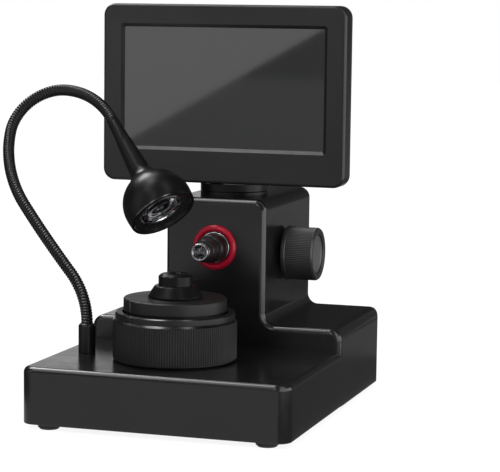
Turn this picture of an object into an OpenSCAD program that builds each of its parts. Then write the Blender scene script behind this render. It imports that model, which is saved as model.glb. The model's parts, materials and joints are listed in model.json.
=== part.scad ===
// Desktop digital microscope with a swivelling screen, a rack focus and a flexible lamp.
// X points right, Y points back, Z points up. The origin is the middle of the bottom cover's underside.

/* [Base] */
// Width of the base, side to side
base_w = 120; // [112:1:140]
// Depth of the base, front to back
base_d = 157; // [150:1:180]
// Height of the base from its underside to the deck
base_h = 24.7; // [22:0.1:32]
// Depth of the open deck in front of the rear body
deck_d = 82.6; // [78:0.1:90]
// Radius of the upright corners
corner_r = 6.5; // [5:0.5:9]
// Radius of the rounded edges
edge_r = 2.7; // [1.5:0.1:3.5]
// Wall thickness of the housing
wall = 2.6; // [2:0.1:3]
// Height of the rubber feet
foot_h = 2.5; // [1.5:0.1:5]
// Diameter of the rubber feet
foot_d = 9.8; // [8:0.1:14]

/* [Rear body] */
// Height of the shoulders above the deck
shoulder_h = 10.7; // [9:0.1:16]
// Width of the column
column_w = 47.5; // [46:0.5:56]
// Height of the column above the deck
column_h = 67.4; // [64:0.1:80]
// Radius of the column's top corners
column_r = 5; // [4:0.5:8]
// Radius of the shoulders' outer corners
shoulder_r = 5.5; // [4:0.5:8]
// Radius where the column runs into the shoulders
root_r = 5; // [3:0.5:8]

/* [Screen] */
// Width of the screen unit
screen_w = 116; // [112:1:130]
// Height of the screen unit
screen_h = 81.5; // [78:0.5:95]
// Thickness of the screen unit without its hinge
screen_t = 12; // [11:0.5:15]
// Radius of the screen's corners
screen_r = 5.5; // [4:0.5:8]
// Width of the picture area
view_w = 95.5; // [85:0.5:100]
// Height of the picture area
view_h = 54.8; // [48:0.1:60]
// Height of the bezel below the picture area
chin_h = 16.2; // [12:0.1:20]
// Distance of the screen's front behind the column's front
screen_setback = 7.9; // [6:0.1:9]
// Gap between the column's top and the screen
screen_lift = 5.9; // [5.6:0.1:9]
// Distance of the neck's axis behind the column's front
neck_setback = 27.4; // [26:0.1:30]
// Diameter of the neck's discs
neck_d = 31.2; // [28:0.1:34]
// Height of the tilt pin above the column's top
tilt_lift = 13.9; // [13:0.1:18]

/* [Focus] */
// Height of the lens axis above the deck
lens_h = 45.1; // [43:0.1:48]
// Diameter of the lens barrel
barrel_d = 12.8; // [11:0.1:13.2]
// Distance that the lens stands out of the column
lens_reach = 21.6; // [18:0.1:26]
// Teeth of the focus pinion
pinion_teeth = 12; // [11:1:12]
// Module of the rack and the pinion
gear_module = 0.8; // [0.7:0.05:0.8]
// Distance of the focus shaft behind the column's front
shaft_setback = 31.4; // [30:0.1:34]
// Diameter of the focus shaft
shaft_d = 4; // [3:0.5:5]
// Diameter of the focus knob
knob_d = 24.5; // [20:0.5:26]
// Length of the focus knob
knob_l = 15.3; // [12:0.1:18]
// Outer diameter of the red ring
red_ring_d = 20.7; // [19.5:0.1:24]

/* [Stage] */
// Sideways place of the stage, left of the lens axis
stage_left = 4.4; // [0:0.1:8]
// Distance of the stage's axis from the front of the base
stage_back = 42; // [38:0.5:44]
// Diameter of the knurled height ring
ring_d = 54.4; // [53.4:0.1:58]
// Height of the knurled part of the height ring
ring_h = 18.1; // [17:0.1:22]
// Diameter of the platform
platform_d = 45.2; // [44:0.1:45.6]
// Height of the platform above the height ring
platform_rise = 6.1; // [5:0.1:10]
// Lift of the platform for one turn of the ring
thread_lead = 8; // [4:0.5:8]
// Diameter of the seat for the stone
seat_d = 4; // [2:0.5:5]

/* [Lamp] */
// Distance of the lamp's ferrule from the left side of the base
ferrule_in = 13.1; // [10:0.1:15]
// Distance of the ferrule from the front of the base
ferrule_back = 44.6; // [40:0.1:50]
// Height of the ferrule above the deck
ferrule_h = 13; // [10:0.5:18]
// Diameter of the ferrule
ferrule_d = 7.6; // [7:0.1:10]
// Diameter of the flexible arm
arm_d = 5.3; // [4.8:0.1:5.6]
// Bend radius of each stretch of the arm, from the ferrule to the lamp
arm_bend_r = [35.5, 161, 57, 21, 34];
// Bend angle of each stretch
arm_bend_a = [39.6, 13.5, 38.9, 98, 50.2];
// Turn of each stretch's bending plane about the arm
arm_turn = [179.5, -84.3, -57.6, -23.3, 12.5];
// Diameter of the lamp's bell
bell_d = 31.2; // [28:0.1:34]
// Length of the lamp from the arm's end to the rim
lamp_l = 54.2; // [51:0.1:60]
// Diameter of the lamp's lens
lamp_lens_d = 18.8; // [16:0.1:20]

/* [Fits] */
// Radial clearance of a shaft that turns or slides in its hole
running = 0.05; // [0.03:0.01:0.08]
// Gap between a cover and the opening that it fills
cover_gap = 0.15; // [0.1:0.05:0.3]
// Gap between faces that move past each other
moving_gap = 0.3; // [0.25:0.05:0.4]
// Radius of the small screws' shanks
screw_r = 1; // [0.8:0.1:1.2]

/* [Hidden] */

$fn = 64;
eps = 0.01;
arc_steps = 8;
edge_steps = 6;

// Levels and places worked out from the sizes above
front_y = -base_d / 2;
back_y = base_d / 2;
body_y = front_y + deck_d;
body_l = back_y - body_y;
shoulder_z = base_h + shoulder_h;
column_z = base_h + column_h;
lens_z = base_h + lens_h;
half_w = base_w / 2;
half_c = column_w / 2;
inner_c = half_c - wall;

// Black of the mouldings, and the other finishes
black = [0.07, 0.07, 0.075];
satin = [0.12, 0.12, 0.125];
dark_metal = [0.2, 0.2, 0.21];
steel = [0.72, 0.73, 0.75];
brass = [0.75, 0.6, 0.3];
board_green = [0.05, 0.3, 0.16];
rubber = [0.05, 0.05, 0.05];

// ---------- shapes that repeat ----------

// Points along an arc, from angle a0 to a1
function arc(centre, r, a0, a1, n = arc_steps) =
    [for (i = [0 : n]) let (a = a0 + (a1 - a0) * i / n) centre + r * [cos(a), sin(a)]];

// The same points mirrored left to right, in reverse order
function flipped(pts) = [for (i = [len(pts) - 1 : -1 : 0]) [-pts[i].x, pts[i].y]];

// Rounded rectangle w by d about the origin, drawn in by inset
function rect_outline(w, d, r, inset = 0) = concat(
    arc([w / 2 - r, r - d / 2], r - inset, -90, 0),
    arc([w / 2 - r, d / 2 - r], r - inset, 0, 90),
    arc([r - w / 2, d / 2 - r], r - inset, 90, 180),
    arc([r - w / 2, r - d / 2], r - inset, 180, 270));

// Front outline of the rear body, drawn in by inset, with its lower edge at z0
function body_outline(inset, z0 = 0) = let (right = concat(
    [[half_w - inset, z0]],
    arc([half_w - shoulder_r, shoulder_z - shoulder_r], shoulder_r - inset, 0, 90),
    arc([half_c + root_r, shoulder_z + root_r], root_r + inset, 270, 180),
    arc([half_c - column_r, column_z - column_r], column_r - inset, 0, 90)))
    concat(right, flipped(right));

// End faces of a convex outline with n points
function whole_cap(n) = [[for (i = [0 : n - 1]) i]];

// End faces of the rear body's outline: its shoulders, and the column in level strips
function body_cap(n) = concat(
    [concat([for (i = [0 : arc_steps + 2]) i], [for (i = [n - arc_steps - 3 : n - 1]) i])],
    [for (i = [arc_steps + 2 : n / 2 - 2]) [i, i + 1, n - 2 - i, n - 1 - i]]);

// Prism along Z whose outline is a function of the inset, with rounded lower and upper edges
module soft_prism(outline, length, low_r = 0, high_r = 0, convex = true) {
    low = low_r > 0 ? [for (k = [0 : edge_steps]) let (a = 90 * k / edge_steps)
        [low_r * (1 - sin(a)), low_r * (1 - cos(a))]] : [[0, 0]];
    high = high_r > 0 ? [for (k = [0 : edge_steps]) let (a = 90 * k / edge_steps)
        [high_r * (1 - cos(a)), length - high_r * (1 - sin(a))]] : [[0, length]];
    rings = concat(low, high);
    n = len(outline(0));
    last = (len(rings) - 1) * n;
    points = [for (s = rings) for (p = outline(s[0])) [p.x, p.y, s[1]]];
    sides = [for (k = [0 : len(rings) - 2]) for (i = [0 : n - 1])
        let (a = k * n + i, b = k * n + (i + 1) % n)
        each [[a, a + n, b + n], [a, b + n, b]]];
    caps = convex ? whole_cap(n) : body_cap(n);
    polyhedron(points, concat(caps, [for (c = caps) [for (i = [len(c) - 1 : -1 : 0]) last + c[i]]], sides));
}

// Rounded rectangle made of whole circles and squares, so that its corners stay true arcs
module rounded_rect(w, d, r) {
    square([w - 2 * r, d], center = true);
    square([w, d - 2 * r], center = true);
    for (x = [-1, 1], y = [-1, 1]) translate([x * (w / 2 - r), y * (d / 2 - r)]) circle(r);
}

module plate(w, d, r, h) { linear_extrude(h) rounded_rect(w, d, r); }

module tube(outer_r, inner_r, h) {
    difference() {
        cylinder(r = outer_r, h = h);
        translate([0, 0, -eps]) cylinder(r = inner_r, h = h + 2 * eps);
    }
}

// Turns +Z to face front (-Y), back (+Y) or right (+X)
module facing_front() { rotate([90, 0, 0]) children(); }
module facing_back() { rotate([-90, 0, 0]) children(); }
module facing_right() { rotate([0, 90, 0]) children(); }

// Disc with n fine flutes cut along its rim
module knurled(r, h, n, depth) {
    linear_extrude(h) polygon([for (i = [0 : n - 1], k = [0, 1])
        let (a = 360 * (i + k / 2) / n, q = r - k * depth) q * [cos(a), sin(a)]]);
}

// Pan-head screw whose head rests on z = 0 and whose shank points down
module screw(length, head_r = 1.9, head_h = 1.4) {
    slot_w = 0.5;
    difference() {
        cylinder(r = head_r, h = head_h, $fn = 32);
        for (a = [0, 90]) rotate([0, 0, a])
            translate([-head_r * 0.6, -slot_w / 2, head_h / 2]) cube([head_r * 1.2, slot_w, head_h]);
    }
    translate([0, 0, -length]) cylinder(r = screw_r, h = length + eps, $fn = 32);
}

// ---------- base and rear body ----------

cover_t = 2;
rear_edge_r = 1.2;
cover_post_r = 3.4;
cover_post_in = 12;
cover_post_at = [[half_w - cover_post_in, front_y + 20.5], [half_w - cover_post_in, body_y - 12.1],
    [half_w - cover_post_in, back_y - 18.5]];
pilot_r = screw_r + running;
cover_screw_l = 8;
rim_ledge = 1.3;
rear_side = 12;
rear_half = half_w - rear_side;
rear_low = 6;
rear_high = shoulder_z - 5;
rear_top = column_z - 5;
rear_column = half_c - 4;
rear_t = 1.4;
rear_flange = 5;
rear_r = 2;
rear_screw_in = 2.6;
rear_screw_at = [
    [rear_half - rear_screw_in, rear_low + rear_screw_in], [rear_half - rear_screw_in, rear_high - rear_screw_in],
    [rear_column - rear_screw_in, rear_top - rear_screw_in]];
rear_boss_l = 9;
rear_boss_r = rear_screw_in + 0.5;
head_recess = 0.7;

post_r = 3.2;
post_x = inner_c + 0.25 - post_r;
post_at = [[post_x, column_z - 15], [post_x, column_z - 38]];
focus_travel = 5;
carriage_y = body_y + 17.9;
carriage_l = 24;
bracket_gap = 4;
bracket_y = carriage_y + carriage_l + focus_travel + bracket_gap;
bracket_t = 3;
rod_r = 2;
rod_x = 11;
rod_z = lens_z + 9.2;
rod_boss_l = 5;

bush_r = barrel_d / 2 + 0.7;
bush_flange_r = bush_r + 2.4;
bush_flange_t = 2;

shaft_y = body_y + shaft_setback;
pinion_r = gear_module * pinion_teeth / 2;
shaft_z = lens_z - pinion_r;
shaft_r = shaft_d / 2;
pinion_x = 8.4;
pinion_w = 4.4;
shaft_bush_r = shaft_r + 2;
shaft_boss_x = 14;
shaft_boss_r = shaft_bush_r + 2.4;

neck_y = body_y + neck_setback;
spindle_r = 5;

ferrule_x = ferrule_in - half_w;
ferrule_y = front_y + ferrule_back;
ferrule_stem_r = 2.6;

module at_body_front() { translate([0, body_y, 0]) children(); }
module on_lens_axis(y) { translate([0, y, lens_z]) facing_back() children(); }
module on_shaft_axis(x) { translate([x, shaft_y, shaft_z]) facing_right() children(); }

// Outline of the rear cover, grown or shrunk by side
module rear_outline(side) {
    for (part = [[rear_half, rear_low, rear_high], [rear_column, rear_low, rear_top]])
        translate([0, (part[1] + part[2]) / 2])
            rounded_rect(2 * (part[0] + side), part[2] - part[1] + 2 * side, rear_r);
}

module housing_shape() {
    block_d = deck_d + 12;
    translate([0, front_y + block_d / 2, 0])
        soft_prism(function (inset) rect_outline(base_w, block_d, corner_r, inset), base_h, 0, edge_r);
    difference() {
        translate([0, back_y, 0]) facing_front()
            soft_prism(function (inset) body_outline(inset), body_l, rear_edge_r, edge_r, convex = false);
        for (side = [-1, 1]) translate([side * (half_w - corner_r), back_y - corner_r, -eps]) difference() {
            translate([side > 0 ? 0 : -corner_r - 1, 0, 0])
                cube([corner_r + 1, corner_r + 1, shoulder_z + 1]);
            cylinder(r = corner_r, h = shoulder_z + 1);
        }
    }
}

module housing_hollow() {
    pocket_d = deck_d + 8;
    translate([0, front_y + wall + pocket_d / 2, -1])
        plate(base_w - 2 * wall, pocket_d, corner_r - wall, base_h - wall + 1);
    translate([0, back_y - wall, 0]) facing_front()
        linear_extrude(body_l - 2 * wall) polygon(body_outline(wall, -1));
}

module housing_posts() {
    for (side = [-1, 1]) {
        for (p = cover_post_at) translate([side * p.x, p.y, cover_t])
            cylinder(r = cover_post_r, h = (p.y > body_y ? shoulder_z : base_h) - cover_t - wall / 2);
        for (p = rear_screw_at) translate([side * p.x, back_y - wall - rear_boss_l, p.y])
            facing_back() cylinder(r = rear_boss_r, h = rear_boss_l + wall / 2);
        for (p = post_at) translate([side * p.x, body_y + wall / 2, p.y])
            facing_back() cylinder(r = post_r, h = bracket_y - body_y - wall / 2);
        translate([side * rod_x, body_y + wall / 2, rod_z])
            facing_back() cylinder(r = rod_r + 2, h = rod_boss_l + wall / 2);
    }
    on_shaft_axis(shaft_boss_x) cylinder(r = shaft_boss_r, h = half_c - wall / 2 - shaft_boss_x);
}

module housing_holes() {
    translate([0, 0, -eps]) plate(base_w - 2 * rim_ledge, base_d - 2 * rim_ledge, corner_r - rim_ledge,
        cover_t + eps);
    for (side = [-1, 1]) {
        for (p = cover_post_at) translate([side * p.x, p.y, cover_t - eps])
            cylinder(r = pilot_r, h = cover_screw_l + 1);
        for (p = rear_screw_at) translate([side * p.x, back_y - wall - rear_boss_l - 1, p.y])
            facing_back() cylinder(r = pilot_r, h = rear_boss_l + wall + 2);
        for (p = post_at) translate([side * p.x, bracket_y - 8, p.y]) facing_back() cylinder(r = pilot_r, h = 9);
        translate([side * rod_x, body_y + wall, rod_z]) facing_back() cylinder(r = rod_r + 0.02, h = rod_boss_l + 1);
    }
    translate([0, back_y + 1, 0]) facing_front() linear_extrude(rear_t + 1) rear_outline(0);
    translate([0, back_y, 0]) facing_front() linear_extrude(wall + 1) rear_outline(-rear_flange);
    on_lens_axis(body_y - 1) cylinder(r = bush_r, h = wall + 2);
    on_shaft_axis(shaft_boss_x - 1) cylinder(r = shaft_bush_r, h = half_c);
    translate([0, neck_y, column_z - wall - 1]) cylinder(r = spindle_r + running, h = wall + 2);
    translate([ferrule_x, ferrule_y, base_h - wall - 1]) cylinder(r = ferrule_stem_r, h = wall + 2);
}

module base_housing() {
    color(black) difference() {
        union() {
            difference() {
                housing_shape();
                housing_hollow();
            }
            housing_posts();
        }
        housing_holes();
    }
}

board_w = 64;
board_d = 44;
board_t = 1.6;
board_z = 8;
board_y = 10;
board_pin_at = [board_w / 2 - 4, board_d / 2 - 4];
board_pin_r = 1.3;
field_w = 74;
field_d = 50;
field_groove = 0.6;

module bottom_cover() {
    w = base_w - 2 * rim_ledge - 2 * cover_gap;
    d = base_d - 2 * rim_ledge - 2 * cover_gap;
    vents = 7;
    color(satin) difference() {
        union() {
            plate(w, d, corner_r - rim_ledge - cover_gap, cover_t);
            for (x = [-1, 1], y = [-1, 1]) translate([x * board_pin_at.x, board_y + y * board_pin_at.y, 0]) {
                cylinder(r = 3, h = board_z);
                cylinder(r = board_pin_r, h = board_z + board_t + 0.8);
            }
        }
        for (side = [-1, 1], p = cover_post_at) translate([side * p.x, p.y, -eps]) {
            cylinder(r = screw_r + 0.3, h = cover_t + 1);
            cylinder(r = 2.4, h = head_recess + eps);
        }
        for (x = [-1, 1], y = [-1, 1]) translate([x * foot_x, y * foot_y, -eps])
            cylinder(r = foot_d / 2 - 1.2, h = foot_sink + eps);
        for (i = [0 : vents - 1]) translate([(i - (vents - 1) / 2) * 6, 52, -eps]) plate(2.4, 22, 1.19, cover_t + 1);
        translate([0, 0, -eps]) linear_extrude(field_groove + eps) difference() {
            rounded_rect(field_w, field_d, 3);
            rounded_rect(field_w - 2 * field_groove, field_d - 2 * field_groove, 3 - field_groove);
        }
    }
}

module bottom_cover_screws() {
    color(dark_metal) for (side = [-1, 1], p = cover_post_at) translate([side * p.x, p.y, head_recess])
        mirror([0, 0, 1]) screw(cover_screw_l, 1.9, head_recess);
}

foot_x = half_w - 11;
foot_y = back_y - 7.3;
foot_sink = 0.8;

module rubber_feet() {
    bevel = 0.9;
    color(rubber) for (x = [-1, 1], y = [-1, 1]) translate([x * foot_x, y * foot_y, 0]) rotate_extrude()
        polygon([[0, -foot_h], [foot_d / 2 - bevel, -foot_h], [foot_d / 2, bevel - foot_h], [foot_d / 2, 0],
            [foot_d / 2 - 1.2 - cover_gap, 0], [foot_d / 2 - 1.2 - cover_gap, foot_sink], [0, foot_sink]]);
}

port_in = 18;
switch_x = port_in - rear_half;
inlet_x = rear_half - port_in;
rear_port_z = 18;
switch_w = 8.8;
switch_h = 13.2;
inlet_r = 4;

module rear_cover() {
    slots = 6;
    color(satin) difference() {
        translate([0, back_y, 0]) facing_front() linear_extrude(rear_t) rear_outline(-cover_gap);
        for (side = [-1, 1], p = rear_screw_at) translate([side * p.x, back_y + eps, p.y]) facing_front() {
            cylinder(r = screw_r + 0.3, h = rear_t + 1);
            cylinder(r = 2.1, h = head_recess + eps);
        }
        translate([switch_x, back_y + 1, rear_port_z]) facing_front() plate(switch_w, switch_h, 1, rear_t + 2);
        translate([inlet_x, back_y + 1, rear_port_z]) facing_front() cylinder(r = inlet_r + cover_gap, h = rear_t + 2);
        for (i = [0 : slots - 1]) translate([0, back_y + 1, column_z - 45 + 4.5 * i]) facing_front()
            plate(20, 1.8, 0.89, rear_t + 2);
    }
}

module rear_cover_screws() {
    color(dark_metal) for (side = [-1, 1], p = rear_screw_at) translate([side * p.x, back_y - head_recess, p.y])
        facing_back() screw(8, 1.9, head_recess);
}

module main_board() {
    chip = [14, 14, 1.6];
    can_r = 4;
    color(board_green) translate([0, board_y, board_z]) {
        difference() {
            plate(board_w, board_d, 2, board_t);
            for (x = [-1, 1], y = [-1, 1]) translate([x * board_pin_at.x, y * board_pin_at.y, -1])
                cylinder(r = board_pin_r + cover_gap, h = board_t + 2);
        }
        translate([-chip.x / 2, -chip.y / 2, board_t]) cube(chip);
        for (x = [-20, 20]) translate([x, -4, board_t]) cylinder(r = can_r, h = 9);
        translate([-10, 13, board_t]) cube([20, 5, 4]);
    }
}

// Panel-mounted barrel inlet with its centre pin
module power_inlet() {
    body_l = 12;
    color(satin) translate([inlet_x, back_y - rear_t, rear_port_z]) facing_front() {
        difference() {
            union() {
                translate([0, 0, -rear_t]) cylinder(r = inlet_r, h = body_l + rear_t);
                cylinder(r = 5.5, h = 2);
            }
            translate([0, 0, -rear_t - 1]) cylinder(r = 2.75, h = 11);
        }
        translate([0, 0, -rear_t + 1]) cylinder(r = 1, h = 11, $fn = 32);
    }
}

rocker_half = 4;
rocker_w = 5.6;
rocker_in = 3.6;
rocker_slot = rocker_half + 1.2;
trunnion_l = 0.9;

module switch_frame() {
    lip = 1;
    lip_t = 0.6;
    color(satin) translate([switch_x, back_y, rear_port_z]) difference() {
        union() {
            facing_front() translate([0, 0, -lip_t]) plate(switch_w + 2 * lip, switch_h + 2 * lip, 1, lip_t);
            facing_front() plate(switch_w - 2 * cover_gap, switch_h - 2 * cover_gap, 0.8, 14);
        }
        translate([-rocker_w / 2 - moving_gap, -11, -rocker_slot])
            cube([rocker_w + 2 * moving_gap, 20, 2 * rocker_slot]);
        translate([-rocker_w / 2 - trunnion_l - 0.2, -rocker_in, 0]) facing_right()
            cylinder(r = 1 + running, h = rocker_w + 2 * trunnion_l + 0.4);
    }
}

// Rocker with trunnions that turn in the frame's side walls
module switch_rocker() {
    half = rocker_half;
    color(black) translate([switch_x, back_y - rocker_in, rear_port_z]) {
        translate([-rocker_w / 2, 0, 0]) facing_right() linear_extrude(rocker_w)
            polygon([[-half, -3.5], [half, -3.5], [half, 2.2], [half * 0.4, 2.6], [0, 2.2], [-half * 0.4, 2.6],
                [-half, 4]]);
        translate([-rocker_w / 2 - trunnion_l, 0, 0]) facing_right() cylinder(r = 1, h = rocker_w + 2 * trunnion_l);
    }
}

// Steel plate bonded under the deck for the stage's magnets to hold to
module keeper_plate() {
    color(steel) translate([0, front_y + stage_back, base_h - wall - 1]) plate(72, 52, 4, 1);
}

// ---------- lens and focus drive ----------

carriage_w = 28;
carriage_top = lens_z + 13.2;
rack_under = lens_z + 2.7;
rack_x = pinion_x - 0.1;
rack_w = pinion_w + 0.2;
rack_y = body_y + 20.9;
rack_l = 21;
tooth_play = 0.12;
rack_tip = 0.55;
rack_root = 0.95;
pinion_tip = 0.7;
pressure = 20;
pitch = PI * gear_module;

ring_section = 3.1;
barrel_y = body_y - lens_reach;
front_ring_l = 5;
front_ring_r = 4;
ribbed_l = 8.5;
ribbed_r = 5.2;
barrel_back = body_y + 43;

// Red trim ring with a round face, flat where it sits on the column
module red_ring() {
    mid_r = (red_ring_d - ring_section) / 2;
    color([0.72, 0.07, 0.16]) translate([0, body_y, lens_z]) facing_front() rotate_extrude($fn = 96)
        intersection() {
            translate([mid_r, 0.35]) circle(ring_section / 2, $fn = 32);
            translate([mid_r - ring_section, 0]) square([2 * ring_section, ring_section]);
        }
}

module lens_bush() {
    color(steel) on_lens_axis(body_y - 1) difference() {
        union() {
            cylinder(r = bush_r - 0.02, h = 1 + wall + bush_flange_t);
            translate([0, 0, 1 + wall]) cylinder(r = bush_flange_r, h = bush_flange_t);
        }
        translate([0, 0, -1]) cylinder(r = barrel_d / 2 + running, h = wall + bush_flange_t + 4);
    }
}

// Stepped barrel with grip ribs on its middle step and an open bore behind the lens
module lens_barrel() {
    step_y = barrel_y + front_ring_l + ribbed_l;
    ribs = 5;
    rib_pitch = ribbed_l / (ribs + 1);
    color(satin) difference() {
        union() {
            on_lens_axis(step_y) cylinder(r = barrel_d / 2, h = barrel_back - step_y);
            on_lens_axis(barrel_y + front_ring_l) cylinder(r = ribbed_r - 0.35, h = ribbed_l);
            for (i = [0 : ribs]) on_lens_axis(barrel_y + front_ring_l + rib_pitch * i)
                cylinder(r = ribbed_r, h = rib_pitch * 0.6);
            on_lens_axis(barrel_y + 2) cylinder(r = front_ring_r - 0.8, h = front_ring_l);
        }
        on_lens_axis(barrel_y) cylinder(r = 2.2, h = barrel_back - barrel_y + 1);
        on_lens_axis(step_y + 2) cylinder(r = 4.6, h = barrel_back - step_y);
    }
}

module lens_front_ring() {
    color(dark_metal) on_lens_axis(barrel_y) difference() {
        cylinder(r = front_ring_r, h = front_ring_l);
        translate([0, 0, -1]) cylinder(r = 2.9, h = 3);
        translate([0, 0, 2 - eps]) cylinder(r = front_ring_r - 0.8 + 0.02, h = front_ring_l);
    }
}

module objective_lens() {
    lens_r = 2.88;
    color([0.6, 0.75, 0.8, 0.5]) on_lens_axis(barrel_y + 1) rotate_extrude()
        polygon([[0, -0.4], [lens_r * 0.6, -0.22], [lens_r, 0.2], [lens_r, 1], [0, 1]]);
}

module camera_board() {
    side = 17;
    color(board_green) on_lens_axis(barrel_back) {
        linear_extrude(1.6) square(side, center = true);
        translate([0, 0, -1.4]) linear_extrude(1.4) square(6, center = true);
        translate([0, 0, 1.6]) linear_extrude(2) square([10, 4], center = true);
    }
}

// Block that carries the barrel on two guide rods, with a foot for the rack
module focus_carriage() {
    lower_w = pinion_x - 0.8;
    color(dark_metal) difference() {
        union() {
            translate([-carriage_w / 2, carriage_y, rack_under])
                cube([carriage_w, carriage_l, carriage_top - rack_under]);
            translate([-carriage_w / 2, carriage_y, lens_z - 9])
                cube([carriage_w / 2 + lower_w, carriage_l, rack_under - lens_z + 9]);
        }
        on_lens_axis(carriage_y - 1) cylinder(r = barrel_d / 2 + 0.02, h = carriage_l + 2);
        for (side = [-1, 1]) translate([side * rod_x, carriage_y - 1, rod_z])
            facing_back() cylinder(r = rod_r + running, h = carriage_l + 2);
    }
}

// Straight rack with trapezoid teeth, on the underside of the carriage
module focus_rack() {
    count = floor(rack_l / pitch);
    half_tooth = pitch / 4 - tooth_play / 2;
    spread = tan(pressure);
    gap_y = shaft_y - rack_y;
    first = gap_y - pitch * (floor(gap_y / pitch - 0.5) + 0.5);
    color(brass) translate([rack_x, rack_y, lens_z]) rotate([90, 0, 90]) linear_extrude(rack_w) difference() {
        translate([0, -rack_tip]) square([rack_l, rack_under - lens_z + rack_tip]);
        for (i = [-1 : count]) translate([first + pitch * (i + 0.5), 0]) polygon([
            [-(pitch / 2 - half_tooth) - spread * (rack_tip + 1), -rack_tip - 1],
            [pitch / 2 - half_tooth + spread * (rack_tip + 1), -rack_tip - 1],
            [pitch / 2 - half_tooth - spread * rack_root, rack_root],
            [-(pitch / 2 - half_tooth) + spread * rack_root, rack_root]]);
    }
}

module guide_rods() {
    color(steel) for (side = [-1, 1]) translate([side * rod_x, body_y + wall, rod_z])
        facing_back() cylinder(r = rod_r, h = bracket_y + bracket_t - body_y - wall);
}

// Plate across the column that holds the far ends of the guide rods; its top corners clear the rear bosses
module guide_bracket() {
    w = 2 * inner_c - 2 * cover_gap;
    notch_gap = 0.6;
    boss = rear_screw_at[2];
    notch = [boss.x - rear_boss_r - notch_gap, boss.y - rear_boss_r - notch_gap];
    low = post_at[1][1] - 4;
    high = column_z - wall - 1;
    color(steel) translate([0, bracket_y + bracket_t, 0]) facing_front() difference() {
        translate([0, (low + high) / 2]) plate(w, high - low, 2, bracket_t);
        translate([0, lens_z, -1]) linear_extrude(bracket_t + 2) square([22, 22], center = true);
        for (side = [-1, 1]) {
            translate([side * rod_x, rod_z, -1]) cylinder(r = rod_r + 0.02, h = bracket_t + 2);
            for (p = post_at) translate([side * p.x, p.y, -1]) cylinder(r = screw_r + 0.3, h = bracket_t + 2);
            translate([side > 0 ? notch.x : -notch.x - 20, notch.y, -1]) cube([20, 20, bracket_t + 2]);
        }
    }
}

module bracket_screws() {
    color(steel) for (side = [-1, 1], p = post_at) translate([side * p.x, bracket_y + bracket_t, p.y])
        facing_back() screw(8);
}

module focus_shaft() {
    color(steel) on_shaft_axis(pinion_x) cylinder(r = shaft_r, h = half_c + 12 - pinion_x);
}

// Involute of a base circle at roll angle t, in degrees
function involute(base_r, t) = base_r * [cos(t) + t * PI / 180 * sin(t), sin(t) - t * PI / 180 * cos(t)];
function involute_roll(base_r, r) = sqrt(max(0, pow(r / base_r, 2) - 1)) * 180 / PI;

// Spur pinion with involute flanks; one tooth points up into the rack
module focus_pinion() {
    base_r = pinion_r * cos(pressure);
    tip_r = pinion_r + pinion_tip;
    root_r = base_r - 0.55;
    roll = involute_roll(base_r, tip_r);
    roll_at_pitch = involute_roll(base_r, pinion_r);
    polar_at_pitch = roll_at_pitch - atan(roll_at_pitch * PI / 180);
    half_tooth = (pitch / 4 - tooth_play / 2) / pinion_r * 180 / PI;
    flank = [for (i = [0 : 5]) involute(base_r, roll * i / 5)];
    turn = -half_tooth - polar_at_pitch;
    function spun(p, a) = [p.x * cos(a) - p.y * sin(a), p.x * sin(a) + p.y * cos(a)];
    right_side = concat([root_r * [cos(turn), sin(turn)]], [for (p = flank) spun(p, turn)]);
    left_side = [for (i = [len(right_side) - 1 : -1 : 0]) [right_side[i].x, -right_side[i].y]];
    outline = [for (k = [0 : pinion_teeth - 1]) for (p = concat(right_side, left_side))
        spun(p, 180 + 360 * k / pinion_teeth)];
    color(brass) on_shaft_axis(pinion_x) difference() {
        linear_extrude(pinion_w) polygon(outline);
        translate([0, 0, -1]) cylinder(r = shaft_r + 0.02, h = pinion_w + 2);
    }
}

module shaft_bush() {
    color(black) on_shaft_axis(shaft_boss_x) difference() {
        union() {
            cylinder(r = shaft_bush_r - 0.02, h = half_c - shaft_boss_x + 1.1);
            translate([0, 0, half_c - shaft_boss_x]) cylinder(r = shaft_bush_r + 2, h = 1.1);
        }
        translate([0, 0, -1]) cylinder(r = shaft_r + running, h = half_c);
    }
}

knob_x = half_c + 1.1 + moving_gap;
knob_r = knob_d / 2;
knob_skirt_l = 2;
knob_cap_r = knob_r - 3.4;

module focus_knob() {
    flutes = 90;
    color(satin) on_shaft_axis(knob_x) difference() {
        union() {
            cylinder(r = knob_r + 0.35, h = knob_skirt_l);
            knurled(knob_r, knob_l - 0.8, flutes, 0.3);
            translate([0, 0, knob_l - 0.8]) cylinder(r1 = knob_r - 0.1, r2 = knob_r - 0.8, h = 0.8);
        }
        translate([0, 0, -1]) cylinder(r = shaft_r + 0.02, h = half_c + 12 - knob_x + 1);
        translate([0, 0, knob_l - 2]) cylinder(r = knob_cap_r + 0.02, h = 3);
    }
}

module knob_cap() {
    color(dark_metal) on_shaft_axis(knob_x + knob_l - 2) difference() {
        cylinder(r = knob_cap_r, h = 1.2);
        translate([0, 0, 0.8]) cylinder(r = knob_cap_r - 1.6, h = 1);
    }
}

// ---------- neck and screen ----------

neck_r = neck_d / 2;
neck_base_h = 1.7;
turntable_z = column_z + neck_base_h + 0.2;
turntable_h = 3.4;
nut_h = 3;
tilt_z = column_z + tilt_lift;
screen_y = body_y + screen_setback;
screen_back = screen_y + screen_t;
screen_z = column_z + screen_lift;
tilt_pin_r = 1.6;
ear_t = 3;
knuckle_half = 7;
ear_r = neck_y - screen_back - 1.4;
knuckle_r = ear_r - 0.4;

module neck_base() {
    color(satin) translate([0, neck_y, column_z]) difference() {
        tube(neck_r, spindle_r + running, neck_base_h);
        for (a = [0 : 120 : 240]) rotate([0, 0, a + 60]) translate([neck_r - 4, 0, neck_base_h - 0.6])
            cylinder(r = 1.6, h = 1);
    }
}

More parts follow.
